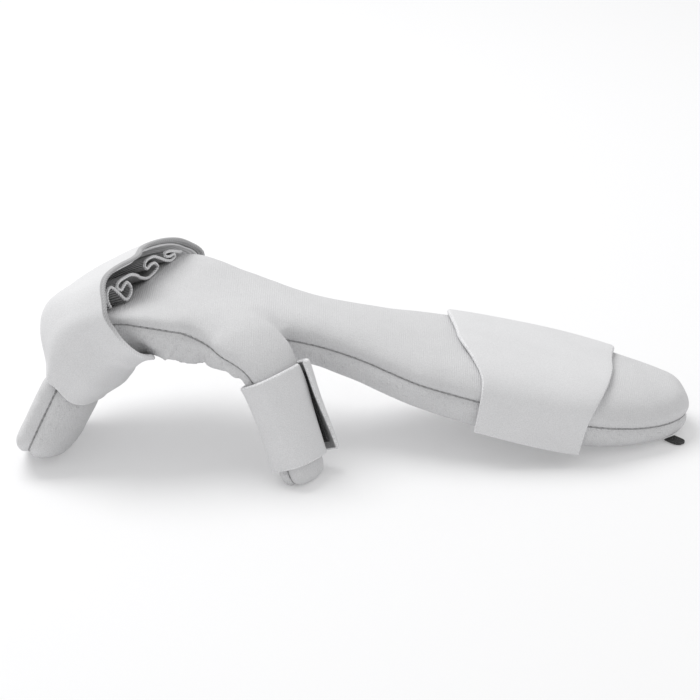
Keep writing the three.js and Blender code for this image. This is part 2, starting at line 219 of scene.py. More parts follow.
# %% Strap tables
STRAP_WALL = 2.6
LINING_WALL = 1.0
BAND_GAP = 1.0
PIECE_GAP = 0.75
FINGER_STRAP_EDGES = np.array([
    # distal and proximal edge from the fingertips, and the room under the mouth, every 30 degrees
    (46, 137, 2), (46, 130.5, 2.5), (46, 123, 5.5), (46, 107, 9), (46, 95, 11), (45.5, 91, 6),
    (42, 89.5, 5), (38, 98, 5), (38, 101, 4), (40.5, 96, 3), (43, 97, 2), (46, 114, 2),
])
FINGER_ROOM = np.array([0, 0.6, 1.3, 1.0, 1])
FOREARM_STRAP_EDGES = np.array([
    # distal and proximal edge from the forearm end, every 30 degrees from -35 on
    (124, 51), (131, 45), (135, 43), (137, 42), (135, 46), (127, 51), (121, 56), (119, 60), (118, 61),
])
FOREARM_STRAP_TURN = (-35.0, 205.0)
THUMB_STRAP_SPAN = (67.0, 116.0)
UNDER_HAND = (195.0, 30.0, 335.0, 30.0)


def finger_edges(degrees):
    """Distances of the finger strap's distal and proximal edges in a direction round the pad."""
    edges = smooth_line(FINGER_STRAP_EDGES, np.mod(degrees, 360) / 360, closed=True)
    return edges[..., 0], edges[..., 1]


def finger_room(degrees, distance):
    """Room between the pad and the finger strap: snug at the fingertips, open at the mouth."""
    distal, proximal = finger_edges(degrees)
    way = np.clip((distance - distal) / (proximal - distal), 0, 1)
    room = smooth_line(FINGER_STRAP_EDGES[:, 2], np.mod(degrees, 360) / 360, closed=True)
    return room * smooth_line(FINGER_ROOM, way)


def under_hand(degrees):
    """1 where a direction points under the hand, with soft limits on both sides."""
    return window(np.mod(degrees, 360), *UNDER_HAND)


def forearm_edges(share):
    """Distances of the forearm strap's distal and proximal edges, at a share of its turn."""
    edges = smooth_line(FOREARM_STRAP_EDGES, share)
    return pad.length - edges[..., 0], pad.length - edges[..., 1]


finger_widths = FINGER_STRAP_EDGES[:, 1] - FINGER_STRAP_EDGES[:, 0]
print("finger strap %d to %d mm wide" % (finger_widths.min(), finger_widths.max()))


# %% [markdown]
# ## Meshes from points
# Every piece below is a grid of points with quads between them. One helper turns such a grid into a
# Blender object, and another stores a number or a place on each point, so that a material can follow the
# cloth instead of the room.

# %% Mesh helpers
def mesh_piece(name, points, faces):
    """An object from points in millimetres and lists of point numbers."""
    mesh = bpy.data.meshes.new(name)
    mesh.from_pydata((np.asarray(points) * MM).tolist(), [], [list(map(int, face)) for face in faces])
    mesh.validate()
    piece = bpy.data.objects.new(name, mesh)
    bpy.context.scene.collection.objects.link(piece)
    return piece


def grid_faces(rows, columns, close_rows=False, close_columns=False):
    """Quads of a grid whose points are numbered row by row."""
    r = np.arange(rows if close_rows else rows - 1)[:, None]
    c = np.arange(columns if close_columns else columns - 1)[None, :]
    up, right = (r + 1) % rows, (c + 1) % columns
    corners = [r * columns + c, r * columns + right, up * columns + right, up * columns + c]
    return np.stack(corners, axis=-1).reshape(-1, 4)


def tube_faces(rows, columns, first=0):
    """Faces of a tube of rings whose points are numbered from a first one, with its two ends."""
    faces = [list(face) for face in grid_faces(rows, columns, close_columns=True) + first]
    last = first + (rows - 1) * columns
    faces.append([first + k for k in range(columns)][::-1])
    faces.append([last + k for k in range(columns)])
    return faces


def points_of(mesh):
    points = np.empty(len(mesh.vertices) * 3)
    mesh.vertices.foreach_get("co", points)
    return points.reshape(-1, 3) / MM


def set_points(mesh, points):
    mesh.vertices.foreach_set("co", (points * MM).ravel())
    mesh.update()


def normals_of(mesh):
    normals = np.empty(len(mesh.vertices) * 3)
    mesh.vertex_normals.foreach_get("vector", normals)
    return normals.reshape(-1, 3)


def keep_on_points(mesh, name, values):
    """Stores a number, or a place in millimetres, on each point."""
    values = np.asarray(values, np.float32)
    kind, key = ("FLOAT", "value") if values.ndim == 1 else ("FLOAT_VECTOR", "vector")
    mesh.attributes.new(name, kind, "POINT").data.foreach_set(key, values.ravel())


def outward(piece):
    """Turns a closed mesh's faces so that they look out, and shades them smooth."""
    mesh = piece.data
    mesh.calc_loop_triangles()
    corners = points_of(mesh)[np.array([t.vertices[:] for t in mesh.loop_triangles])]
    if np.einsum("ij,ij->", corners[:, 0], np.cross(corners[:, 1], corners[:, 2])) < 0:
        mesh.flip_normals()
    mesh.shade_smooth()


def applied(piece):
    """The mesh that an object has after its modifiers."""
    graph = bpy.context.evaluated_depsgraph_get()
    return bpy.data.meshes.new_from_object(piece.evaluated_get(graph))


# %% Search helpers
def tree_of(points):
    tree = kdtree.KDTree(len(points))
    for number, point in enumerate(points):
        tree.insert(point, number)
    tree.balance()
    return tree


def nearest(tree, points):
    """For each point, the number of the nearest one in a tree and how far it is."""
    found = [tree.find(point) for point in points]
    return np.array([f[1] for f in found]), np.array([f[2] for f in found])


# %% [markdown]
# ## The seam
# The cover is sewn from an upper and a lower panel. Their seam runs all the way round: along the far
# side, round the fingertips, along the near side, down one edge of the thumb tongue, round its tip, up
# the other edge and on to the forearm end. The line is made from the limbs' own edges, and where two
# edges come nearest it turns from one limb onto the other. At the fingers it lies a little lower. Each
# place on it also knows which way the upper panel lies. The parts below are numbers of points along an
# edge, a step apart.

# %% The seam line
SEAM_STEP = 1.0
SEAM_END_GAP = 0.4
SEAM_TURN = 7
SEAM_THINNING = 4
SEAM_POINTS = 2000
FINGER_SEAM_TURN = 8.0
FINGER_SEAM_FROM = 50.0
FINGER_SEAM_BLEND = 30.0
PALM_PART = slice(0, 140)
WRIST_PART = slice(140, 200)
TONGUE_ROOT = slice(25, 50)
TONGUE_NEAR_PART = slice(20, None)


def edge_line(limb, degrees):
    """An edge of a limb from its start to its end, with the direction of its crown."""
    distance = np.arange(SEAM_END_GAP, limb.length - SEAM_END_GAP, SEAM_STEP)
    if limb is pad and degrees == 180:
        past_fingers = ease((distance - FINGER_SEAM_FROM) / FINGER_SEAM_BLEND)
        degrees = degrees + FINGER_SEAM_TURN * (1 - past_fingers)
    return limb.outline(distance, degrees), limb.section(distance)[2]


def nearest_pair(first, second):
    gaps = np.linalg.norm(first[:, None] - second[None], axis=-1)
    return np.unravel_index(np.argmin(gaps), gaps.shape)


near_edge, near_up = edge_line(pad, 180)
far_edge, far_up = edge_line(pad, 0)
tongue_near, tongue_near_up = edge_line(thumb, 180)
tongue_far, tongue_far_up = edge_line(thumb, 0)
onto_pad, onto_tongue = nearest_pair(near_edge[PALM_PART], tongue_near[TONGUE_NEAR_PART])
off_pad, off_tongue = nearest_pair(near_edge[WRIST_PART], tongue_far[TONGUE_ROOT])
palm_stretch = slice(None, onto_pad - SEAM_TURN)
down_tongue = slice(onto_tongue + TONGUE_NEAR_PART.start + SEAM_TURN, None)
up_tongue = slice(None, off_tongue + TONGUE_ROOT.start + SEAM_TURN - 1, -1)
forearm_stretch = slice(off_pad + WRIST_PART.start + SEAM_TURN, None)
stretches = [
    (near_edge[palm_stretch], near_up[palm_stretch]),
    (tongue_near[down_tongue], tongue_near_up[down_tongue]),
    (tongue_far[up_tongue], tongue_far_up[up_tongue]),
    (near_edge[forearm_stretch], near_up[forearm_stretch]),
    (far_edge[::-1], far_up[::-1]),
]
thinned_line, thinned_up = (
    np.concatenate([part[::SEAM_THINNING] for part in parts]) for parts in zip(*stretches)
)
seam_shares = np.linspace(0, 1, SEAM_POINTS, endpoint=False)
seam_line = smooth_line(thinned_line, seam_shares, closed=True)
seam_up = unit(smooth_line(thinned_up, seam_shares, closed=True))
seam_run = run_along(seam_line)
print("the seam is %.0f mm long" % seam_run[-1])

# %% [markdown]
# ## The padded body
# On the real splint a foam pad with a stiff sheet inside is pulled into a sewn cover. Blender's cloth
# with a little pressure makes that: both limbs are joined into one skin by a voxel remesh and blown up
# while the points on the seam, under the straps and on the table are pinned. So the padding swells
# between the seams, is drawn in along them, and bulges beside each strap. Two subdivisions then make the
# skin smooth. A subdivided skin is a little smaller than its cage, so the cage is first pushed out until
# the smooth skin lies on the limbs.

# %% Join the limbs in one skin
PAD_VOXEL = 4.2
END_RINGS = np.array([0.3, 1, 2, 3.5, 5.5, 8, 11])
END_LENGTH = 14


def limb_blank(limb, sides, step):
    """Points and faces of a closed limb that stays above the table."""
    middle_rings = np.arange(END_LENGTH, limb.length - END_LENGTH, step)
    distance = np.concatenate([END_RINGS, middle_rings, limb.length - END_RINGS[::-1]])
    degrees = (np.arange(sides) + 0.5) * 360 / sides
    hollow = limb.dish(distance[:, None], degrees[None, :])
    points = limb.outline(distance[:, None], degrees[None, :], 0.0, -hollow).reshape(-1, 3)
    points[:, 2] = np.maximum(points[:, 2], 0)
    return points, tube_faces(len(distance), sides)


pad_points, pad_faces = limb_blank(pad, sides=72, step=3.0)
thumb_points, thumb_faces = limb_blank(thumb, sides=48, step=2.0)
blank_faces = pad_faces + [[number + len(pad_points) for number in face] for face in thumb_faces]
pad_cover = mesh_piece("pad_cover", np.concatenate([pad_points, thumb_points]), blank_faces)
remesh = pad_cover.modifiers.new("one_skin", "REMESH")
remesh.mode = "VOXEL"
remesh.voxel_size = PAD_VOXEL * MM
skin = applied(pad_cover)
pad_cover.modifiers.clear()
pad_cover.data = skin
print("one skin of %d points" % len(skin.vertices))

# %% Soften the web of the thumb
WEB_FROM = 3.0
WEB_REACH = 15.0
WEB_SHARE = 0.6
WEB_PASSES = 14
SKIN_SHARE = 0.35
SKIN_PASSES = 2


def smoothed(mesh, points, share, passes):
    """Draws each point towards the middle of its neighbours, by a share of the way."""
    ends = np.empty(len(mesh.edges) * 2, int)
    mesh.edges.foreach_get("vertices", ends)
    ends = ends.reshape(-1, 2)
    count = np.bincount(ends.ravel(), minlength=len(points))[:, None]
    for _ in range(passes):
        total = np.zeros_like(points)
        np.add.at(total, ends[:, 0], points[ends[:, 1]])
        np.add.at(total, ends[:, 1], points[ends[:, 0]])
        points = points + (total / count - points) * np.reshape(share, (-1, 1))
    return points


points = points_of(skin)
_, to_pad = nearest(tree_of(pad_points), points)
_, to_thumb = nearest(tree_of(thumb_points), points)
web = 1 - ease((np.maximum(to_pad, to_thumb) - WEB_FROM) / WEB_REACH)
points = smoothed(skin, points, WEB_SHARE * web, WEB_PASSES)
points = smoothed(skin, points, SKIN_SHARE, SKIN_PASSES)
set_points(skin, points)
print("softened %d points of the web" % np.count_nonzero(web))

# %% Push the cage out
CAGE_PASSES = 3
CAGE_STEP = 2.5


def smooth_skin(levels):
    """The mesh of the cover's cage after subdivision."""
    subdivision = pad_cover.modifiers.new("smooth_skin", "SUBSURF")
    subdivision.levels = levels
    mesh = applied(pad_cover)
    pad_cover.modifiers.clear()
    return mesh


def outside(tree, points):
    """How far each point lies outside a closed surface, minus inside, and the way out."""
    found = [tree.find_nearest(point) for point in points]
    normals = np.array([normal for _, normal, _, _ in found])
    away = points - np.array([place for place, _, _, _ in found])
    return np.einsum("ij,ij->i", away, normals), normals


pad_tree = BVHTree.FromPolygons(pad_points.tolist(), pad_faces)
thumb_tree = BVHTree.FromPolygons(thumb_points.tolist(), thumb_faces)
for _ in range(CAGE_PASSES):
    smooth = points_of(smooth_skin(1))[: len(points)]
    from_pad, pad_way = outside(pad_tree, smooth)
    from_thumb, thumb_way = outside(thumb_tree, smooth)
    on_thumb = from_thumb < from_pad
    off = np.where(on_thumb, from_thumb, from_pad) * (1 - web)
    way = np.where(on_thumb[:, None], thumb_way, pad_way)
    points = points - way * np.clip(off, -CAGE_STEP, CAGE_STEP)[:, None]
    set_points(skin, points)
print("smooth skin within %.2f mm of the limbs, on average" % np.abs(off).mean())

# %% [markdown]
# ## Pinned and blown up
# The finger strap's edges press into the padding, and on the thumb's side it is pressed in where the
# strap's mouth stands open. Those dents go in first. Each has a start, a rise, an end and a fall, counted
# from the strap's edge or in degrees. Then the cloth is pinned where something holds it, and the pressure
# swells the rest. The swelling is capped, because the stiff sheet inside holds the cover back.

# %% Press in the finger strap
MOUTH_DENT = 4.0
MOUTH_DENT_ALONG = (-24.0, 16.0, 10.0, 10.0)
MOUTH_DENT_AROUND = (160.0, 25.0, 240.0, 30.0)
EDGE_PRESS = 1.8
DISTAL_PRESS_ALONG = (-5.0, 6.0, 17.0, 10.0)
MOUTH_PRESS_ALONG = (-26.0, 12.0, 5.0, 6.0)
STRAP_REACH = 6.0
LOOKUP_STEP = 1.0
LOOKUP_TURN = 3.0


def on_pad(points):
    """For points near the pad: distance along it, direction round it, and how far its surface is."""
    distance = np.arange(LOOKUP_STEP, pad.length, LOOKUP_STEP)
    degrees = np.arange(0.0, 360.0, LOOKUP_TURN)
    surface = pad.outline(distance[:, None], degrees[None, :])
    number, gap = nearest(tree_of(surface.reshape(-1, 3)), points)
    return distance[number // len(degrees)], degrees[number % len(degrees)], gap


def mouth_dent(along, around):
    """How deep the padding is pressed in at the mouth of the finger strap, on the thumb's side."""
    from_mouth = along - finger_edges(around)[1]
    return MOUTH_DENT * window(from_mouth, *MOUTH_DENT_ALONG) * window(around, *MOUTH_DENT_AROUND)


def edge_press(along, around):
    """How deep the finger strap's edges press in: the distal one all round, the mouth under the hand."""
    distal, proximal = finger_edges(around)
    at_distal = window(along - distal, *DISTAL_PRESS_ALONG)
    at_mouth = under_hand(around) * window(along - proximal, *MOUTH_PRESS_ALONG)
    return EDGE_PRESS * np.maximum(at_distal, at_mouth)


points = points_of(skin)
along, around, gap = on_pad(points)
dent = (mouth_dent(along, around) + edge_press(along, around)) * (gap < STRAP_REACH)
points = points - normals_of(skin) * dent[:, None]
set_points(skin, points)
print("the finger strap presses in by up to %.1f mm" % dent.max())

# %% Pin the cover
HELD_MARGIN = 1.0
FOREARM_HELD = 0.9
TONGUE_LOOKUP_STEP = 2.0
TONGUE_LOOKUP_TURN = 4.0
TONGUE_HELD = 3.0
SEAM_HELD = 3.0
TABLE_HELD = 1.0


def under_strap(points):
    """Points of the pad that a strap presses on, from the nearest place on the limb's surface."""
    along, around, gap = on_pad(points)

    def between(distal, proximal):
        return (along > distal - HELD_MARGIN) & (along < proximal + HELD_MARGIN) & (gap < STRAP_REACH)

    turned = np.mod(around - FOREARM_STRAP_TURN[0], 360) / np.ptp(FOREARM_STRAP_TURN)
    held = between(*finger_edges(around)) | ((turned <= FOREARM_HELD) & between(*forearm_edges(turned)))
    first, last = THUMB_STRAP_SPAN
    distance = np.arange(first - HELD_MARGIN, last + HELD_MARGIN, TONGUE_LOOKUP_STEP)
    degrees = np.arange(0.0, 360.0, TONGUE_LOOKUP_TURN)
    wrapped = thumb.outline(distance[:, None], degrees[None, :]).reshape(-1, 3)
    return held | (nearest(tree_of(wrapped), points)[1] < TONGUE_HELD)


_, to_seam = nearest(tree_of(seam_line), points)
pinned = under_strap(points) | (to_seam < SEAM_HELD) | (points[:, 2] < TABLE_HELD)
print("%d of %d points are pinned" % (pinned.sum(), len(points)))

# %% Inflate the cover
PAD_PRESSURE = 3.0
PAD_SWELL = 1.6
CLOTH_FRAMES = 20

sewn = pad_cover.vertex_groups.new(name="sewn")
sewn.add(np.nonzero(pinned)[0].tolist(), 1.0, "REPLACE")
cloth = pad_cover.modifiers.new("stuffing", "CLOTH")
cloth.settings.vertex_group_mass = "sewn"
cloth.settings.use_pressure = True
cloth.settings.uniform_pressure_force = PAD_PRESSURE
cloth.settings.effector_weights.gravity = 0.0
cloth.collision_settings.use_collision = False
for number in range(1, CLOTH_FRAMES + 1):
    bpy.context.scene.frame_set(number)
swollen = points_of(applied(pad_cover)) - points
reach = np.linalg.norm(swollen, axis=1)
print("the padding swelled by up to %.1f mm before the cap" % reach.max())
points = points + swollen * np.minimum(1, PAD_SWELL / np.maximum(reach, 1e-9))[:, None]
pad_cover.modifiers.clear()
pad_cover.vertex_groups.clear()
bpy.context.scene.frame_set(1)
set_points(skin, points)

cover = smooth_skin(2)
pad_cover.data = cover
print("cover of %d points" % len(cover.vertices))

# %% [markdown]
# ## Seam, gathers and lumps on the cover
# Finer shapes are pressed into the smooth skin along its normals, as a sculptor would. The two panels
# roll in to the seam, so the skin dips there and swells a little beside it. The lower panel is gathered
# where the hand part bends, and the padding under the cloth is never quite even. Each point also keeps
# its signed distance from the seam, plus on the upper panel and minus on the lower, for the cover's
# material.

# %% Signed distance from the seam
SEAM_PASSES = 3
SEAM_REACH = 6
SIDE_REACH = 8.0
CLOSE_REACH = 3.0


def on_surface(mesh, line):
    """The nearest places of a mesh to a line, and the mesh's normals there."""
    faces = [face.vertices[:] for face in mesh.polygons]
    tree = BVHTree.FromPolygons(points_of(mesh).tolist(), faces)
    found = [tree.find_nearest(point) for point in line]
    places = np.array([place for place, _, _, _ in found])
    return places, np.array([normal for _, normal, _, _ in found])


def averaged(line, reach):
    """A closed line with each point drawn to the middle of its neighbours on both sides."""
    return sum(np.roll(line, shift, axis=0) for shift in range(-reach, reach + 1)) / (2 * reach + 1)


points, normals = points_of(cover), normals_of(cover)
for _ in range(SEAM_PASSES):
    seam_line, seam_out = on_surface(cover, averaged(seam_line, SEAM_REACH))
seam_out = unit(averaged(seam_out, SEAM_REACH))
seam_along = unit(np.roll(seam_line, -1, axis=0) - np.roll(seam_line, 1, axis=0))
seam_side = np.cross(seam_along, seam_out)
seam_side = unit(seam_side * np.sign(np.einsum("ij,ij->i", seam_side, seam_up))[:, None])
number, to_seam = nearest(tree_of(seam_line), points)
aside = np.einsum("ij,ij->i", points - seam_line[number], seam_side[number])
above = np.einsum("ij,ij->i", points - seam_line[number], seam_up[number])
panel = np.where(above >= 0, to_seam, -to_seam)
panel = np.where(to_seam < SIDE_REACH, np.sign(aside) * to_seam, panel)
panel = np.where(to_seam < CLOSE_REACH, aside, panel)
print("%d points on the upper panel, %d on the lower" % (np.sum(panel > 0), np.sum(panel < 0)))

# %% Press in the seam and the gathers
SEAM_DIP = 1.3
SEAM_DIP_WIDTH = 1.8
SEAM_SWELL = 0.5
SEAM_SWELL_PLACE = 5.5
SEAM_SWELL_WIDTH = 3.0
GATHER_DEPTH = 0.9
GATHER_SPACING = 12.5
GATHER_BLEND = 14.0
GATHER_BELOW_SEAM = (2.0, 7.0, 34.0, 14.0)
GATHER_WANDER = 2.2
WANDER_SIZE = (17.0, 30.0)
WANDER_SEED = 3.0
GATHER_START = pad.outline(100.0, 180.0)
GATHER_END = thumb.outline(70.0, 180.0)


def run_at(place):
    """How far along the seam it passes a place."""
    return seam_run[np.argmin(np.linalg.norm(seam_line - place, axis=1))]


def wandering(run, panel):
    place = (run / WANDER_SIZE[0], panel / WANDER_SIZE[1], WANDER_SEED)
    return noise.noise(Vector(place))


to_seam = np.abs(panel)
push = -SEAM_DIP * np.exp(-((to_seam / SEAM_DIP_WIDTH) ** 2))
push += SEAM_SWELL * np.exp(-(((to_seam - SEAM_SWELL_PLACE) / SEAM_SWELL_WIDTH) ** 2))
run = seam_run[number]
gathered = window(run, run_at(GATHER_START), GATHER_BLEND, run_at(GATHER_END), GATHER_BLEND)
gathered *= window(-panel, *GATHER_BELOW_SEAM)
wander = np.array([wandering(*place) for place in zip(run, panel)])
push += GATHER_DEPTH * gathered * np.sin(2 * math.pi * run / GATHER_SPACING + GATHER_WANDER * wander)
print("seam and gathers: from %.1f to %.1f mm" % (push.min(), push.max()))

# %% Add lumps and rest the cover on the table
LUMP_DEPTH = 0.35
LUMP_SIZES = (26.0, 11.0)
FINE_LUMPS = 0.5


def uneven(points, sizes, fine_share):
    """Smooth random numbers at points: coarse ones, and a share of finer ones."""
    coarse, fine = ([noise.noise(Vector(point / size)) for point in points] for size in sizes)
    return np.array(coarse) + fine_share * np.array(fine)


push += LUMP_DEPTH * uneven(points, LUMP_SIZES, FINE_LUMPS)
points = points + normals * push[:, None]
height = points[:, 2]
points[:, 2] = np.where(height < 1, np.clip(height, 0, 1) ** 2, height)
set_points(cover, points)
keep_on_points(cover, "panel", panel)
outward(pad_cover)
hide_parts("pad_body")
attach(pad_cover, "root")
print("shaped cover, lowest point %.2f mm" % points[:, 2].min())

# %% [markdown]
# ## Thread in the seam
# A row of short stitches shows in the seam. Each is a thin tube that comes out of the cloth and goes back
# in, so a small arc of a few rings is enough. One helper makes a row of stitches from a line and the way
# out of the cloth.

# %% Seam stitches
STITCH_LENGTH = 2.3
STITCH_SPACING = 3.4
STITCH_RADIUS = 0.22
STITCH_LIFT = 0.25
STITCH_SUNK = 0.6 * STITCH_RADIUS
STITCH_RINGS = 7
STITCH_END = 1.05
STITCH_AVERAGE = 3


def tube(path, across, out, radius, sides):
    """Points of a tube of rings along a path; radius is a number for each ring or for each point."""
    turn = np.arange(sides) * 2 * math.pi / sides
    ring = across[:, None] * np.cos(turn)[None, :, None] + out[:, None] * np.sin(turn)[None, :, None]
    return path[:, None] + ring * np.reshape(radius, (len(path), -1, 1))


def stitch_row(name, line, out, sides=6):
    """Stitches along a line of points, bowed out of the cloth."""
    run = run_along(line)
    bow = np.linspace(-1, 1, STITCH_RINGS)
    lift = STITCH_LIFT * (1 - bow**2) - STITCH_SUNK
    radius = STITCH_RADIUS * round_off(STITCH_END - np.abs(bow))
    points, faces = [], []
    for middle in np.arange(STITCH_SPACING, run[-1] - STITCH_SPACING, STITCH_SPACING):
        places = middle + bow * STITCH_LENGTH / 2
        path = np.stack([np.interp(places, run, line[:, k]) for k in range(3)], axis=1)
        up = unit(np.stack([np.interp(places, run, out[:, k]) for k in range(3)], axis=1))
        along = unit(np.gradient(path, axis=0))
        rings = tube(path + up * lift[:, None], unit(np.cross(along, up)), up, radius, sides)
        faces += tube_faces(STITCH_RINGS, sides, first=len(points) * STITCH_RINGS * sides)
        points.append(rings.reshape(-1, 3))
    piece = mesh_piece(name, np.concatenate(points), faces)
    piece.data.shade_smooth()
    print("%s: %d stitches" % (name, len(points)))
    return piece


stitch_line, _ = on_surface(cover, seam_line)
seam_stitches = stitch_row("seam_stitches", averaged(stitch_line, STITCH_AVERAGE), seam_out)
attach(seam_stitches, "root")

# %% [markdown]
# ## Straps of foam laminate
# A strap is a few millimetres of foam between two cloths, cut with a knife, so it has soft rounded edges
# that show the foam. A flat sheet with Solidify would give sharp edges. Here each strap is swept from a
# rounded profile: the outer face, a half-round edge, the inner face, the other edge. A strap with ends is
# rounded off there too. Every point keeps its place on the cloth, whether it is on an edge, and which
# face it is on.

# %% Strap builder
RIM_STEPS = 6
WELD_REACH = 1e-6


def strap_rows(lengthwise, tip):
    """Places along a strap with ends, and how much of its wall it has there."""
    turn = np.linspace(0, math.pi / 2, RIM_STEPS + 1)
    first, last = lengthwise[0], lengthwise[-1]
    rows = [(first + tip * (1 - math.cos(t)), math.sin(t)) for t in turn]
    rows += [(u, 1.0) for u in lengthwise if rows[-1][0] < u < last - tip]
    return rows + [(last - tip * (1 - math.cos(t)), math.sin(t)) for t in turn[::-1]]


def strap_profile(edge, faces_across):
    """Shares of the width, rise from inner to outer face, and the cut edges of a rounded profile."""
    flat = np.linspace(edge, 1 - edge, faces_across)
    bend = np.linspace(math.pi / 2, -math.pi / 2, RIM_STEPS + 2)[1:-1]
    level, cut = np.ones(faces_across), np.ones(RIM_STEPS)
    across = [flat, 1 - edge + edge * np.cos(bend), flat[::-1], edge - edge * np.cos(bend)]
    rise = [level, np.sin(bend), -level, -np.sin(bend)]
    return tuple(np.concatenate(parts) for parts in (across, rise, [0 * level, cut, 0 * level, cut]))


def strap_piece(name, place, lengthwise, widths, inner, wall, closed=False, faces_across=40):
    """Sweeps a rounded strap: place(u, v, gap) gives points for a place along, across and out of it."""
    half = wall / 2
    rows = [(u, 1.0) for u in lengthwise] if closed else strap_rows(lengthwise, half / widths[1])
    v, rise, rim = strap_profile(half / widths[0], faces_across)
    u = np.array([row[0] for row in rows])[:, None]
    full = np.array([row[1] for row in rows])[:, None]
    gap = inner + half + half * full * rise[None, :]
    u, v, gap = np.broadcast_arrays(u, v[None, :], gap)
    points = place(u, v, gap).reshape(-1, 3)
    piece = mesh_piece(name, points, grid_faces(*u.shape, close_rows=closed, close_columns=True))
    mesh = piece.data
    keep_on_points(mesh, "cloth", np.stack([u * widths[1], v * widths[0], gap], axis=-1).reshape(-1, 3))
    keep_on_points(mesh, "rim", np.maximum(rim[None, :], 1 - full).ravel())
    keep_on_points(mesh, "face", np.broadcast_to((rise[None, :] + 1) / 2, u.shape).ravel())
    if not closed:
        weld = piece.modifiers.new("weld", "WELD")
        weld.merge_threshold = WELD_REACH
        piece.data = applied(piece)
        piece.modifiers.clear()
    outward(piece)
    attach(piece, "root")
    return piece


# %% [markdown]
# ## The finger strap
# This band is sewn round the finger part and stands open towards the wrist, like a wide sleeve. It is
# cinched at the fingertips and has room for the fingers at its mouth. Over the hand the mouth flares a
# little, under the hand it sinks into the padding, and the soft belly before it pushes the band out.
# Small dents keep it from looking machined. The lining is a second, thinner band against its inner face.

# %% Shape of the finger strap
CINCH_DEPTH = 4.0
CINCH_LENGTH = 15.0
SUNK_LENGTH = 24.0
BELLY_BULGE = 2.2
BULGE_LENGTH = 56.0
FLARED_MOUTH = 4.0
FLARE_LENGTH = 20.0
OVER_HAND = (40.0, 65.0, 218.0, 30.0)
DENT_DEPTH = 0.25
DENT_SIZES = (19.0, 7.0)
FINE_DENTS = 0.4


def finger_band(inset, sunk_mouth):
    """Gives the places of a band round the finger part, set in from the strap's two edges."""

    def place(u, v, gap):
        degrees = u * 360
        distal, proximal = finger_edges(degrees)
        distance = distal + inset[0] + (proximal - distal - inset[0] - inset[1]) * v
        to_mouth = proximal - distance
        under, over = under_hand(degrees), window(np.mod(degrees, 360), *OVER_HAND)
        cinch = CINCH_DEPTH * (1 - ease((distance - distal) / CINCH_LENGTH))
        sunk = sunk_mouth * under * ease(1 - to_mouth / SUNK_LENGTH)
        bulge = BELLY_BULGE * under * np.sin(np.pi * np.clip(to_mouth / BULGE_LENGTH, 0, 1)) ** 2
        flare = FLARED_MOUTH * over * np.clip(1 - to_mouth / FLARE_LENGTH, 0, 1) ** 2
        closer = cinch + sunk - bulge - flare
        points = pad.outline(distance, degrees, gap - closer, finger_room(degrees, distance))
        dents = uneven(points.reshape(-1, 3), DENT_SIZES, FINE_DENTS).reshape(u.shape)
        out = pad.section(distance)[2]
        return points + out * (DENT_DEPTH * dents * np.sin(np.radians(degrees)))[..., None]

    return place


# %% Finger strap and lining
BAND_STEPS = 180
BAND_RUN = 230.0
FINGER_STRAP_WIDTH = 60.0
FINGER_STRAP_INSIDE = BAND_GAP + LINING_WALL + BAND_GAP
FINGER_STRAP_INSET = (0.0, 0.0)
SUNK_STRAP = 4.0
LINING_WIDTH = 43.0
LINING_CLEAR = 0.1
LINING_INSIDE = FINGER_STRAP_INSIDE - LINING_WALL - LINING_CLEAR
LINING_INSET = (15.0, 2.0)
SUNK_LINING = 2.6

turns = np.linspace(0, 1, BAND_STEPS, endpoint=False)
strap_place = finger_band(FINGER_STRAP_INSET, SUNK_STRAP)
finger_strap = strap_piece(
    "finger_strap_cloth", strap_place, turns, (FINGER_STRAP_WIDTH, BAND_RUN),
    FINGER_STRAP_INSIDE, STRAP_WALL, closed=True,
)
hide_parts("finger_strap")
finger_lining = strap_piece(
    "finger_strap_lining_cloth", finger_band(LINING_INSET, SUNK_LINING), turns, (LINING_WIDTH, BAND_RUN),
    LINING_INSIDE, LINING_WALL, closed=True,
)
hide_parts("finger_strap_lining")

# %% [markdown]
# ## The bound mouth of the strap
# The mouth of the band has a narrow binding along its cut edge, so the rim shows as a pale roll with a
# fine groove beside it. A wrapped cord that sits on the cut edge, just past the strap's width, makes it.

# %% Mouth binding
BINDING_RADIUS = 1.1
BINDING_STEPS = 900
BINDING_PLACE = 1.004
OUTWARD_NUDGE = 2.0
CORD_SIDES = 10
CORD_END_RINGS = 4
WRAP_LENGTH = 1.7


def cord_piece(name, path, radius, across, out, closed, wrap):
    """A thin bound edge: a tube with slanting wraps of thread in its surface."""
    count = len(path)
    to_end = count / 2 - np.abs(np.arange(count) - count / 2 + 0.5)
    ends = np.ones(count) if closed else round_off(to_end / CORD_END_RINGS)
    run = run_along(path)
    turn = np.arange(CORD_SIDES) * 2 * math.pi / CORD_SIDES
    bulge = 1 + wrap * np.sin(2 * math.pi * run[:, None] / WRAP_LENGTH + turn[None, :])
    points = tube(path, across, out, radius * ends[:, None] * bulge, CORD_SIDES)
    if closed:
        faces = grid_faces(count, CORD_SIDES, close_rows=True, close_columns=True)
    else:
        faces = tube_faces(count, CORD_SIDES)
    piece = mesh_piece(name, points.reshape(-1, 3), faces)
    places = np.broadcast_arrays(run[:, None], turn[None, :], 0.0)
    keep_on_points(piece.data, "cloth", np.stack(places, axis=-1).reshape(-1, 3))
    outward(piece)
    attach(piece, "root")
    return piece


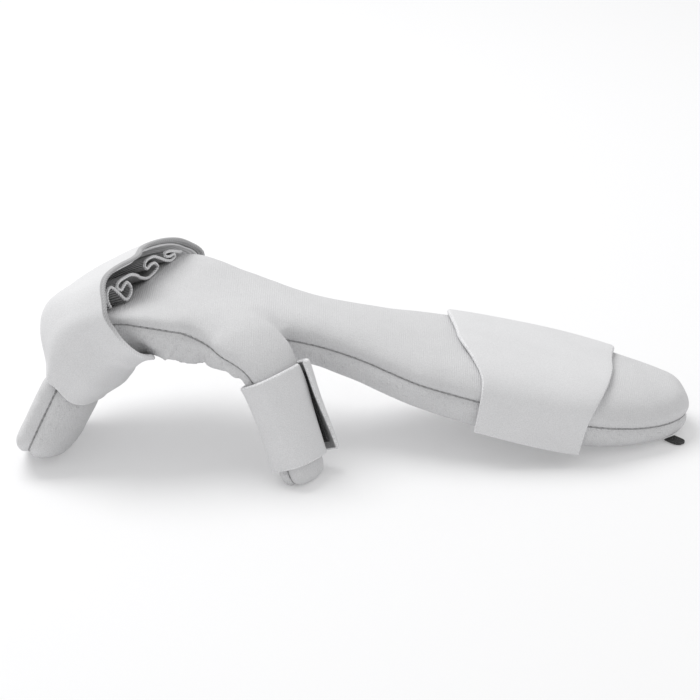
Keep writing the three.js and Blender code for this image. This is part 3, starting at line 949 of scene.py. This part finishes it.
mouth_turn = np.linspace(0, 360, BINDING_STEPS, endpoint=False) / 360
past_edge = np.full(BINDING_STEPS, BINDING_PLACE)
rim_middle = np.full(BINDING_STEPS, FINGER_STRAP_INSIDE + STRAP_WALL / 2)
mouth_path = strap_place(mouth_turn, past_edge, rim_middle)
mouth_along = unit(np.roll(mouth_path, -1, axis=0) - np.roll(mouth_path, 1, axis=0))
mouth_out = unit(strap_place(mouth_turn, past_edge, rim_middle + OUTWARD_NUDGE) - mouth_path)
mouth_across = unit(np.cross(mouth_along, mouth_out))
mouth_binding = cord_piece(
    "mouth_binding", mouth_path, BINDING_RADIUS, mouth_across, mouth_out, closed=True, wrap=0.08
)
mouth_length = run_along(mouth_path)[-1]
print("binding round the mouth: %.0f mm" % mouth_length)

# %% [markdown]
# ## The finger separator
# A dark ribbed strip is folded in waves between the pad and the band, one channel for each finger, and
# its front edge is overlocked with pale thread. A table holds the wave as it looks from the wrist: places
# across the hand, and heights as shares of the room under the band. It is swept back into the band, and
# its front edge carries a wrapped cord.

# %% The wave of the separator
SEPARATOR_EDGE = [
    # across the hand in millimetres, and a share of the room
    (-34, 0.03), (-33.6, 0.5), (-30.8, 0.84), (-26.8, 0.92), (-23.8, 0.5), (-20.7, 0.06), (-16, 0.16),
    (-13.6, 0.42), (-15.4, 0.72), (-18.4, 0.66), (-21.4, 0.54), (-23.2, 0.74), (-20.8, 0.92),
    (-15.2, 0.97), (-9.7, 0.93), (-2.4, 0.66), (6, 0.3), (12.6, 0.03), (18.3, 0.03), (21.4, 0.2),
    (19.6, 0.54), (16.6, 0.58), (13.2, 0.5), (11.4, 0.74), (14, 0.93), (19.2, 0.95), (23.4, 0.68),
    (28, 0.26), (31.6, 0.03), (34.6, 0.14), (33.4, 0.5), (30, 0.48), (27, 0.66), (26.8, 0.93),
    (32, 0.93), (38, 0.6), (41.5, 0.5),
]
SEPARATOR_WALL = 1.2
SEPARATOR_LENGTH = 30.0
SEPARATOR_SETBACK = 2.5
KNUCKLE_ROW = 3
WAVE_STEPS = 480

knuckle_half_width = PAD_SECTIONS[KNUCKLE_ROW][3]
wave_shares = np.linspace(0, 1, WAVE_STEPS)
wave = smooth_line(SEPARATOR_EDGE, wave_shares)


def direction_over(across, half_width):
    """Degrees round the pad, over a place across the hand."""
    reach = np.clip(across / half_width, -1, 1)
    return np.degrees(np.arccos(np.sign(reach) * np.abs(reach) ** (SQUARENESS / 2)))


def separator_place(across, height, share):
    """A place on the strip's middle: across the hand, up in the room, and a share of the way into it."""
    mouth = finger_edges(direction_over(across, knuckle_half_width))[1] - SEPARATOR_SETBACK
    distance = mouth - share * SEPARATOR_LENGTH
    middle, sideways, out, half_width, crown, _, _ = pad.section(distance)
    degrees = direction_over(across, half_width + BAND_GAP)
    rise = squared(np.sin(np.radians(degrees)))
    clear = PIECE_GAP + SEPARATOR_WALL / 2
    low = rise * (crown - pad.dish(distance, degrees)) + clear
    high = rise * (crown + finger_room(degrees, distance) + BAND_GAP) - clear
    lift = low + (high - low) * height
    return middle + sideways * across[..., None] + out * lift[..., None]


front = separator_place(wave[:, 0], wave[:, 1], np.zeros(WAVE_STEPS))
front_length = run_along(front)[-1]
print("separator: %.0f mm of strip along its front edge" % front_length)

# %% Finger separator
SEPARATOR_STEPS = 420
WAVE_NUDGE = 0.002
INWARD_NUDGE = 0.02


def wave_at(u):
    """Places across the hand and heights of the wave, at shares of its run."""
    return [np.interp(u, wave_shares, wave[:, k]) for k in range(2)]


def separator_sheet(u, v, gap):
    """Points of the folded strip; gap is the distance from the middle of the cloth."""
    across, height = wave_at(u)
    here = separator_place(across, height, v)
    ahead = separator_place(*wave_at(u + WAVE_NUDGE), v)
    behind = separator_place(*wave_at(u - WAVE_NUDGE), v)
    inwards = separator_place(across, height, v + INWARD_NUDGE) - here
    return here + unit(np.cross(ahead - behind, inwards)) * gap[..., None]


separator = strap_piece(
    "finger_separator_cloth", separator_sheet, np.linspace(0, 1, SEPARATOR_STEPS),
    (SEPARATOR_LENGTH, front_length), -SEPARATOR_WALL / 2, SEPARATOR_WALL, faces_across=14,
)
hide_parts("finger_separator")
print("separator of %d faces" % len(separator.data.polygons))

# %% Overlocked edge of the separator
EDGE_CORD_RADIUS = 0.85
EDGE_CORD_STEPS = 900

cord_shares = np.linspace(0, 1, EDGE_CORD_STEPS)
cord_line = smooth_line(front, cord_shares)
cord_along = unit(np.gradient(cord_line, axis=0))
behind_cord = separator_place(*smooth_line(wave, cord_shares).T, np.full(EDGE_CORD_STEPS, INWARD_NUDGE))
cord_side = unit(np.cross(cord_along, unit(behind_cord - cord_line)))
cord_out = unit(np.cross(cord_side, cord_along))
separator_edge = cord_piece(
    "separator_edge", cord_line, EDGE_CORD_RADIUS, cord_side, cord_out, closed=False, wrap=0.12
)
print("overlocked edge: %.0f mm" % run_along(cord_line)[-1])

# %% [markdown]
# ## The forearm strap
# This broad strap lies over the forearm part like a saddle. It is held at the far side, and its near end
# is loose: past the thumb's side it leaves the padding and hangs straight down by its own weight, just
# above the table.

# %% Forearm strap
FOREARM_STRAP_WIDTH = 75.0
FOREARM_STEPS = 220
FREE_END_FROM = 175.0
FREE_END_HANG = 19.0
FREE_END_FLARE = 2.0


def forearm_place(u, v, gap):
    degrees = FOREARM_STRAP_TURN[0] + np.ptp(FOREARM_STRAP_TURN) * u
    hanging = np.maximum(degrees - FREE_END_FROM, 0) / (FOREARM_STRAP_TURN[1] - FREE_END_FROM)
    distal, proximal = forearm_edges(u)
    distance = distal + (proximal - distal) * v
    _, across, out = pad.section(distance)[:3]
    points = pad.outline(distance, np.minimum(degrees, FREE_END_FROM), gap)
    return points - (out * FREE_END_HANG + across * FREE_END_FLARE) * hanging[..., None]


def band_length(place, gap, steps):
    """Length of a band along the middle of its width, at a distance from what it lies on."""
    line = np.linspace(0, 1, steps)
    return run_along(place(line, np.full(steps, 0.5), np.full(steps, gap)))[-1]


forearm_length = band_length(forearm_place, 0.0, FOREARM_STEPS)
forearm_strap = strap_piece(
    "forearm_strap_cloth", forearm_place, np.linspace(0, 1, FOREARM_STEPS),
    (FOREARM_STRAP_WIDTH, forearm_length), PIECE_GAP, STRAP_WALL,
)
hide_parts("forearm_strap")

# %% [markdown]
# ## The thumb strap
# A narrower strap winds once round the thumb tongue. Its end is cut in a bow and stands off, because the
# stiff foam springs open where the dark hook patch on its inner face isn't pressed home. The patch is
# moulded tape, stiff and sewn down. Values in pairs belong to the edge next to the hand and the edge next
# to the tip.

# %% Thumb strap
THUMB_STRAP_START = np.array([62.0, 8.0])
THUMB_STRAP_END = np.array([425.0, 400.0])
THUMB_END_BOW = 8.0
THUMB_FLAP_FROM = 307.5
THUMB_FLAP_LIFT = np.array([3.6, 6.8])
THUMB_STRAP_STEPS = 200
LENGTH_STEPS = 400


def slanting(edge, width):
    """A value between the edge next to the hand and the edge next to the tip."""
    return edge[0] + (edge[1] - edge[0]) * width


def thumb_wrap(start, end, inset, bow):
    """Gives the places of a band round the thumb tongue, set in by a share of the strap's width."""

    def place(u, v, gap):
        width = inset + (1 - 2 * inset) * v
        first, last = slanting(start, width), slanting(end, width) + bow * np.sin(np.pi * width)
        degrees = first + (last - first) * u
        flap_turn = slanting(THUMB_STRAP_END, width) - THUMB_FLAP_FROM
        lift = ease((degrees - THUMB_FLAP_FROM) / flap_turn) * slanting(THUMB_FLAP_LIFT, width)
        return thumb.outline(slanting(THUMB_STRAP_SPAN, width), degrees, gap + lift)

    return place


thumb_width = np.ptp(THUMB_STRAP_SPAN)
thumb_place = thumb_wrap(THUMB_STRAP_START, THUMB_STRAP_END, 0, THUMB_END_BOW)
thumb_length = band_length(thumb_place, BAND_GAP + STRAP_WALL / 2, LENGTH_STEPS)
thumb_strap = strap_piece(
    "thumb_strap_cloth", thumb_place, np.linspace(0, 1, THUMB_STRAP_STEPS),
    (thumb_width, thumb_length), BAND_GAP, STRAP_WALL, faces_across=32,
)
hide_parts("thumb_strap")
print("thumb strap: %.0f by %.0f mm" % (thumb_width, thumb_length))

# %% Hook patch on the thumb strap
HOOK_START = np.array([367.5, 367.5])
HOOK_END = np.array([400.0, 395.0])
HOOK_INSET = 0.1
HOOK_WALL = 0.9
HOOK_STEPS = 30

patch_place = thumb_wrap(HOOK_START, HOOK_END, HOOK_INSET, 0)
patch_width = thumb_width * (1 - 2 * HOOK_INSET)
patch_length = band_length(patch_place, 0.0, LENGTH_STEPS)
thumb_hook = strap_piece(
    "thumb_hook_patch", patch_place, np.linspace(0, 1, HOOK_STEPS), (patch_width, patch_length),
    BAND_GAP - PIECE_GAP - HOOK_WALL, HOOK_WALL, faces_across=24,
)
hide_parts("thumb_strap_hook")
print("hook patch: %.0f by %.0f mm" % (patch_width, patch_length))

# %% [markdown]
# ## The closure tab
# A small dark tab of hook tape peeps out from under the forearm end. Hook tape is moulded and stiff, so
# it is a thin plate with a round end, not a sheet of cloth.

# %% Closure tab
TAB_LENGTH = 10.0
TAB_WIDTH = 8.0
TAB_WALL = 1.2
TAB_PLACE = np.array([172.5, -17.0, 0.2]) + BASE_SHIFT
TAB_TURN = math.radians(-50.0)
TAB_TIP = 0.02
TAB_STEPS = 24


def tab_place(u, v, gap):
    round_part = TAB_WIDTH / 2
    along = u * TAB_LENGTH
    beyond = np.clip((along - (TAB_LENGTH - round_part)) / round_part, 0, 1)
    sideways = (v - 0.5) * TAB_WIDTH * np.maximum(np.sqrt(1 - beyond**2), TAB_TIP)
    x = along * math.cos(TAB_TURN) - sideways * math.sin(TAB_TURN)
    y = along * math.sin(TAB_TURN) + sideways * math.cos(TAB_TURN)
    return TAB_PLACE + np.stack([x, y, gap], axis=-1)


closure_tab = strap_piece(
    "closure_tab_hook", tab_place, np.linspace(0, 1, TAB_STEPS), (TAB_WIDTH, TAB_LENGTH),
    0.0, TAB_WALL, faces_across=12,
)
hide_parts("closure_tab")
print("closure tab: %.0f by %.0f mm" % (TAB_WIDTH, TAB_LENGTH))

# %% [markdown]
# ## Finishes
# All the cloth is matt, so the work is in the colour and in very small relief. A helper adds nodes and
# links them by name, which keeps each finish short. Places come in millimetres, so a rib of 1.2 mm is
# written as 1.2. Blender's wave texture runs faster than its scale says, so the ribs are scaled back.

# %% Finish helpers
SHEEN_ROUGHNESS = 0.6
CLOTH_SPECULAR = 0.25
COOL_CAST = 1.012
WAVE_SPEED = 20


def grey(value):
    """A very slightly cool grey."""
    return (value, value, value * COOL_CAST, 1.0)


class Finish:
    """A cloth material with a few words for its nodes."""

    def __init__(self, name, roughness, sheen):
        self.material = bpy.data.materials.new(name)
        self.material.use_nodes = True
        self.nodes, self.links = self.material.node_tree.nodes, self.material.node_tree.links
        self.shader = self.nodes["Principled BSDF"]
        self.shader.inputs["Roughness"].default_value = roughness
        self.shader.inputs["Sheen Weight"].default_value = sheen
        self.shader.inputs["Sheen Roughness"].default_value = SHEEN_ROUGHNESS
        self.shader.inputs["Specular IOR Level"].default_value = CLOTH_SPECULAR

    def feed(self, socket, value):
        """Links a socket to another node, or sets it to a number or a colour."""
        if hasattr(value, "is_linked"):
            self.links.new(value, socket)
        else:
            socket.default_value = value

    def node(self, kind, settings=None, **inputs):
        """A node with settings and inputs; a space in an input's name is written as an underscore."""
        made = self.nodes.new(kind)
        for key, value in (settings or {}).items():
            setattr(made, key, value)
        for key, value in inputs.items():
            self.feed(made.inputs[key.replace("_", " ")], value)
        return made.outputs[0]

    def maths(self, operation, *values):
        made = self.nodes.new("ShaderNodeMath")
        made.operation = operation
        for socket, value in zip(made.inputs, values):
            self.feed(socket, value)
        return made.outputs[0]

    def place(self):
        """Places in the room, in millimetres."""
        room = self.nodes.new("ShaderNodeTexCoord").outputs["Object"]
        return self.node("ShaderNodeVectorMath", {"operation": "SCALE"}, Vector=room, Scale=1 / MM)

    def kept(self, name, vector=False):
        """A number or a place that each point keeps."""
        made = self.nodes.new("ShaderNodeAttribute")
        made.attribute_name = name
        return made.outputs["Vector" if vector else "Fac"]

    def speckle(self, place, size, detail=2.0):
        return self.node("ShaderNodeTexNoise", Vector=place, Scale=1 / size, Detail=detail)

    def ribs(self, place, period, direction, distortion=0.0):
        made = self.node(
            "ShaderNodeTexWave", {"bands_direction": direction}, Vector=place,
            Scale=2 * math.pi / (WAVE_SPEED * period), Distortion=distortion, Detail=1.0, Detail_Scale=1.0,
        )
        return made.node.outputs["Fac"]

    def span(self, value, low, high, to_low=0.0, to_high=1.0):
        """Goes smoothly from one number to another between two values."""
        return self.node(
            "ShaderNodeMapRange", {"interpolation_type": "SMOOTHSTEP"},
            Value=value, From_Min=low, From_Max=high, To_Min=to_low, To_Max=to_high,
        )

    def mix(self, share, first, second):
        made = self.nodes.new("ShaderNodeMix")
        made.data_type = "RGBA"
        first_colour, second_colour, mixed_colour = made.inputs[6], made.inputs[7], made.outputs[2]
        self.feed(made.inputs["Factor"], share)
        self.feed(first_colour, first)
        self.feed(second_colour, second)
        return mixed_colour

    def two_greys(self, value, low, high, greys):
        """Goes from one grey to another between two values."""
        return self.mix(self.span(value, low, high), grey(greys[0]), grey(greys[1]))

    def finish(self, colour, relief, height_mm, piece):
        self.links.new(colour, self.shader.inputs["Base Color"])
        bump = self.node("ShaderNodeBump", Height=relief, Distance=height_mm * MM, Strength=1.0)
        self.links.new(bump.node.outputs["Normal"], self.shader.inputs["Normal"])
        piece.data.materials.clear()
        piece.data.materials.append(self.material)
        print("finish", self.material.name, "on", piece.name)


# %% [markdown]
# ## Brushed knit of the cover
# The cover is a light brushed jersey. Fine ribs of the knit run across the limb, a nap blurs them, and
# the lower panel is covered in small pills from wear. The seam lies in a soft valley, and the thin dark
# line along it is painted shade in the colour, where the valley's shadow falls.

# %% Colour of the cover
NAP_SIZE = 0.55
NAP_SPAN = (0.3, 0.7)
PILL_SIZE = 1.7
PILL_SPAN = (0.56, 0.74)
CLOUD_SIZE = 24.0
CLOUD_SPAN = (0.35, 0.7)
UPPER_GREYS = (0.62, 0.70)
LOWER_GREYS = (0.60, 0.70)
PILL_GREY, PILL_SHARE = 0.74, 0.35
CLOUD_GREY, CLOUD_SHARE = 0.48, 0.10
# painted shade: the dark grey of the seam's line, how much of it, and how far from the seam it reaches
SEAM_SHADE_GREY, SEAM_SHADE_SHARE = 0.24, 0.6
PANEL_BLEND = 0.6
SEAM_GROOVE_AND_SHADE_SPAN = (0.6, 0.1)

cover_finish = Finish("cover_knit", roughness=0.92, sheen=0.12)
place = cover_finish.place()
from_seam = cover_finish.kept("panel")
lower = cover_finish.span(from_seam, PANEL_BLEND, -PANEL_BLEND)
nap = cover_finish.speckle(place, NAP_SIZE, detail=3.0)
cloud = cover_finish.span(cover_finish.speckle(place, CLOUD_SIZE), *CLOUD_SPAN, 0.0, CLOUD_SHARE)
pill = cover_finish.span(cover_finish.speckle(place, PILL_SIZE, detail=1.0), *PILL_SPAN)
pilled = cover_finish.maths("MULTIPLY", pill, lower)
# painted shade: the colour darkens to a thin line along the seam, where its valley's shadow falls; the same
# mask presses the groove into the relief
seam_groove_and_shade = cover_finish.span(cover_finish.maths("ABSOLUTE", from_seam), *SEAM_GROOVE_AND_SHADE_SPAN)
upper_colour = cover_finish.two_greys(nap, *NAP_SPAN, UPPER_GREYS)
lower_colour = cover_finish.two_greys(nap, *NAP_SPAN, LOWER_GREYS)
knit_colour = cover_finish.mix(lower, upper_colour, lower_colour)
for share, shade in (
    (cover_finish.maths("MULTIPLY", pilled, PILL_SHARE), PILL_GREY),
    (cloud, CLOUD_GREY),
    (cover_finish.maths("MULTIPLY", seam_groove_and_shade, SEAM_SHADE_SHARE), SEAM_SHADE_GREY),
):
    knit_colour = cover_finish.mix(share, knit_colour, grey(shade))
print("cover colour of %d nodes" % len(cover_finish.nodes))

# %% Relief of the cover and its thread
KNIT_PERIOD = 1.15
KNIT_SHARE = 0.42
PILL_HEIGHT = 1.2
CREASE_HEIGHT = 2.5
COVER_RELIEF = 0.22
THREAD_TWIST = 0.7
THREAD_GREYS = (0.3, 0.45)
THREAD_RELIEF = 0.05

knit = cover_finish.ribs(place, KNIT_PERIOD, "X", distortion=2.0)
relief = cover_finish.maths("ADD", cover_finish.maths("MULTIPLY", knit, KNIT_SHARE), nap)
relief = cover_finish.maths("ADD", relief, cover_finish.maths("MULTIPLY", pilled, PILL_HEIGHT))
relief = cover_finish.maths("SUBTRACT", relief, cover_finish.maths("MULTIPLY", seam_groove_and_shade, CREASE_HEIGHT))
cover_finish.finish(knit_colour, relief, COVER_RELIEF, pad_cover)

thread_finish = Finish("seam_thread", roughness=0.8, sheen=0.1)
twist = thread_finish.ribs(thread_finish.place(), THREAD_TWIST, "DIAGONAL")
thread_colour = thread_finish.mix(twist, *map(grey, THREAD_GREYS))
thread_finish.finish(thread_colour, twist, THREAD_RELIEF, seam_stitches)

# %% [markdown]
# ## Strap laminate
# Outside, the straps have a smooth looped face, a little lighter than the cover. The inner face is
# darker. The cut edge shows pale open foam, and grey foam where the finger strap's mouth crosses
# the back of the hand. The numbers that each point keeps tell them apart.

# %% Strap finish
LOOP_SIZE = 0.5
LOOP_SPAN = (0.3, 0.7)
OUTER_GREYS = (0.68, 0.76)
STAIN_SIZE = 20.0
STAIN_SPAN = (0.35, 0.7)
STAIN_GREY, STAIN_SHARE = 0.5, 0.08
INNER_SPREAD = 0.2
INNER_FACE = (0.2, 0.02)
FOAM_CELL = 0.8
FOAM_SPAN = (0.35, 0.65)
FOAM_GREYS = (0.66, 0.84)
FOAM_HEIGHT = 1.5
CUT_EDGE = (0.35, 0.65)
GREY_RIM = 0.46
GREY_RIM_TURN = (185.0, 160.0)
MOUTH_HALF = (30.0, 45.0)
LAMINATE_RELIEF = 0.14


def over_hand(made, mouth_run):
    """1 over the hand, and the node with the place on the cloth; mouth_run is a whole turn's length."""
    cloth_place = made.node("ShaderNodeSeparateXYZ", Vector=made.kept("cloth", vector=True))
    return made.span(cloth_place, *(mouth_run * turn / 360 for turn in GREY_RIM_TURN)), cloth_place.node


def strap_finish(piece, inner_grey, mouth_run=0.0):
    made = Finish(piece.name + "_laminate", roughness=0.88, sheen=0.1)
    place = made.place()
    loops = made.speckle(place, LOOP_SIZE)
    stain = made.span(made.speckle(place, STAIN_SIZE), *STAIN_SPAN, 0.0, STAIN_SHARE)
    outer = made.mix(stain, made.two_greys(loops, *LOOP_SPAN, OUTER_GREYS), grey(STAIN_GREY))
    inner_greys = (inner_grey * (1 - INNER_SPREAD), inner_grey * (1 + INNER_SPREAD))
    inner = made.two_greys(loops, *LOOP_SPAN, inner_greys)
    foam_cells = made.speckle(place, FOAM_CELL, detail=1.0)
    foam = made.two_greys(foam_cells, *FOAM_SPAN, FOAM_GREYS)
    if mouth_run:
        over, cloth_place = over_hand(made, mouth_run)
        at_mouth = made.span(cloth_place.outputs["Y"], *MOUTH_HALF)
        foam = made.mix(made.maths("MULTIPLY", over, at_mouth), foam, grey(GREY_RIM))
    rim = made.kept("rim")
    colour = made.mix(made.span(made.kept("face"), *INNER_FACE), outer, inner)
    colour = made.mix(made.span(rim, *CUT_EDGE), colour, foam)
    rough_edge = made.maths("MULTIPLY", rim, made.maths("MULTIPLY", foam_cells, FOAM_HEIGHT))
    made.finish(colour, made.maths("ADD", loops, rough_edge), LAMINATE_RELIEF, piece)


strap_finish(finger_strap, inner_grey=0.3, mouth_run=BAND_RUN)
strap_finish(forearm_strap, inner_grey=0.35)
strap_finish(thumb_strap, inner_grey=0.25)

# %% [markdown]
# ## Ribbed lining and separator
# Both are rib knits, the lining mid grey and the separator dark. The ribs follow the cloth, so they use
# the place that each point keeps: on the lining they run along the mouth, on the separator from its front
# edge into the channels. The lining is thin and some light shines through it. Light can't pass the foam
# here, so a faint glow of its own stands for that.

# %% Rib finishes
RIB_WAVER = 0.6
RIB_SHARE = 0.75
FUZZ_SIZE = 0.6
FUZZ_SHARE = 0.35
RIB_SPAN = (0.2, 0.9)
RIB_RELIEF = 0.45


def rib_finish(name, piece, period, direction, greys, shine_through=0.0):
    made = Finish(name, roughness=0.95, sheen=0.15)
    made.shader.inputs["Emission Color"].default_value = grey(greys[1])
    made.shader.inputs["Emission Strength"].default_value = shine_through
    rib = made.ribs(made.kept("cloth", vector=True), period, direction, RIB_WAVER)
    fuzz = made.speckle(made.place(), FUZZ_SIZE)
    rib, fuzz = made.maths("MULTIPLY", rib, RIB_SHARE), made.maths("MULTIPLY", fuzz, FUZZ_SHARE)
    relief = made.maths("ADD", rib, fuzz)
    made.finish(made.two_greys(relief, *RIB_SPAN, greys), relief, RIB_RELIEF, piece)


rib_finish("lining_rib", finger_lining, period=1.5, direction="Y", greys=(0.5, 0.7), shine_through=0.16)
rib_finish("separator_rib", separator, period=1.3, direction="X", greys=(0.1, 0.38))

# %% [markdown]
# ## Bindings and hook tape
# The overlocked edges are pale wrapped thread, and the mouth's binding is grey where it crosses the back
# of the hand. The hook tape is nearly black, with a stubble of tiny hooks.

# %% Binding and hook finishes
WRAP_PERIOD = 0.85
WRAP_WAVER = 0.5
EDGE_GREYS = (0.7, 0.9)
BINDING_GREYS = (0.7, 0.8)
GREY_BINDING_GREYS = (0.4, 0.5)
WRAP_RELIEF = 0.12
HOOK_SPACING = 0.9
HOOK_SPAN = (0.1, 0.5)
HOOK_GREYS = (0.05, 0.16)
HOOK_RELIEF = 0.5


def thread_edge_finish(name, piece, greys, mouth_run=0.0):
    made = Finish(name, roughness=0.85, sheen=0.1)
    wraps = made.ribs(made.kept("cloth", vector=True), WRAP_PERIOD, "DIAGONAL", WRAP_WAVER)
    colour = made.mix(wraps, *map(grey, greys))
    if mouth_run:
        over, _ = over_hand(made, mouth_run)
        colour = made.mix(over, colour, made.mix(wraps, *map(grey, GREY_BINDING_GREYS)))
    made.finish(colour, wraps, WRAP_RELIEF, piece)


def hook_finish(name, piece):
    made = Finish(name, roughness=0.7, sheen=0.0)
    hooks = made.node("ShaderNodeTexVoronoi", Vector=made.place(), Scale=1 / HOOK_SPACING)
    stubble = made.span(hooks, *HOOK_SPAN, 1.0, 0.0)
    made.finish(made.mix(stubble, *map(grey, HOOK_GREYS)), stubble, HOOK_RELIEF, piece)


thread_edge_finish("mouth_thread", mouth_binding, BINDING_GREYS, mouth_length)
thread_edge_finish("separator_thread", separator_edge, EDGE_GREYS)
hook_finish("hook_tape", thumb_hook)
hook_finish("hook_tape_tab", closure_tab)

# %% [markdown]
# ## Table, light and camera
# The splint lies on a white table in a bright room. A wide soft light hangs above it, a little behind and
# towards the fingers, so the tops are light and the near sides fall into soft shade, and the white
# surroundings fill the rest. The camera looks along +Y from 22.5 degrees above the table with a long
# lens.

# %% Table
FLOOR_SIZE = 8000.0
FLOOR_SINK = 0.05
FLOOR_COLOUR = (0.72, 0.72, 0.725, 1)
FLOOR_GLOW = 0.2
WHITE = (1, 1, 1, 1)

floor_corners = np.array([(-1, -1, 0), (1, -1, 0), (1, 1, 0), (-1, 1, 0)]) * FLOOR_SIZE / 2
floor = mesh_piece("floor", floor_corners - np.array([0, 0, FLOOR_SINK]), [(0, 1, 2, 3)])
floor_material = bpy.data.materials.new("white_table")
floor_material.use_nodes = True
floor_shader = floor_material.node_tree.nodes["Principled BSDF"]
floor_shader.inputs["Base Color"].default_value = FLOOR_COLOUR
floor_shader.inputs["Roughness"].default_value = 0.8
floor_shader.inputs["Specular IOR Level"].default_value = 0.2
floor_shader.inputs["Emission Color"].default_value = WHITE
floor_shader.inputs["Emission Strength"].default_value = FLOOR_GLOW
floor.data.materials.append(floor_material)
print("table of %.0f m" % (FLOOR_SIZE * MM))

# %% Light
KEY_PLACE = Vector((-0.7, 0.5, 1.6))
KEY_SIZE = 1.3
KEY_POWER = 18.0
ROOM_STRENGTH = 0.69

key = bpy.data.objects.new("key", bpy.data.lights.new("key", "AREA"))
key.data.shape = "DISK"
key.data.size = KEY_SIZE
key.data.energy = KEY_POWER
key.location = KEY_PLACE
key.rotation_euler = (-KEY_PLACE).to_track_quat("-Z", "Y").to_euler()
bpy.context.scene.collection.objects.link(key)
world = bpy.data.worlds.new("white_room")
world.use_nodes = True
world.node_tree.nodes["Background"].inputs["Color"].default_value = WHITE
world.node_tree.nodes["Background"].inputs["Strength"].default_value = ROOM_STRENGTH
bpy.context.scene.world = world
bpy.context.scene.view_settings.view_transform = "Standard"
print("key light of %.0f W, room of strength %.2f" % (KEY_POWER, ROOM_STRENGTH))

# %% Camera
TARGET_HEIGHT = 45.0
TARGET = Vector((*BASE_SHIFT[:2], TARGET_HEIGHT)) * MM
ELEVATION = math.radians(22.5)
DISTANCE = 1.4
PICTURE_WIDTH = 700
PIXEL = 0.54 * MM
SENSOR_WIDTH = 36.0

camera = bpy.data.objects.new("camera", bpy.data.cameras.new("camera"))
camera.location = TARGET + DISTANCE * Vector((0, -math.cos(ELEVATION), math.sin(ELEVATION)))
camera.rotation_euler = (math.pi / 2 - ELEVATION, 0, 0)
camera.data.sensor_width = SENSOR_WIDTH
camera.data.lens = SENSOR_WIDTH * DISTANCE / (PICTURE_WIDTH * PIXEL)
bpy.context.scene.collection.objects.link(camera)
bpy.context.scene.camera = camera
print("lens %.1f mm" % camera.data.lens)
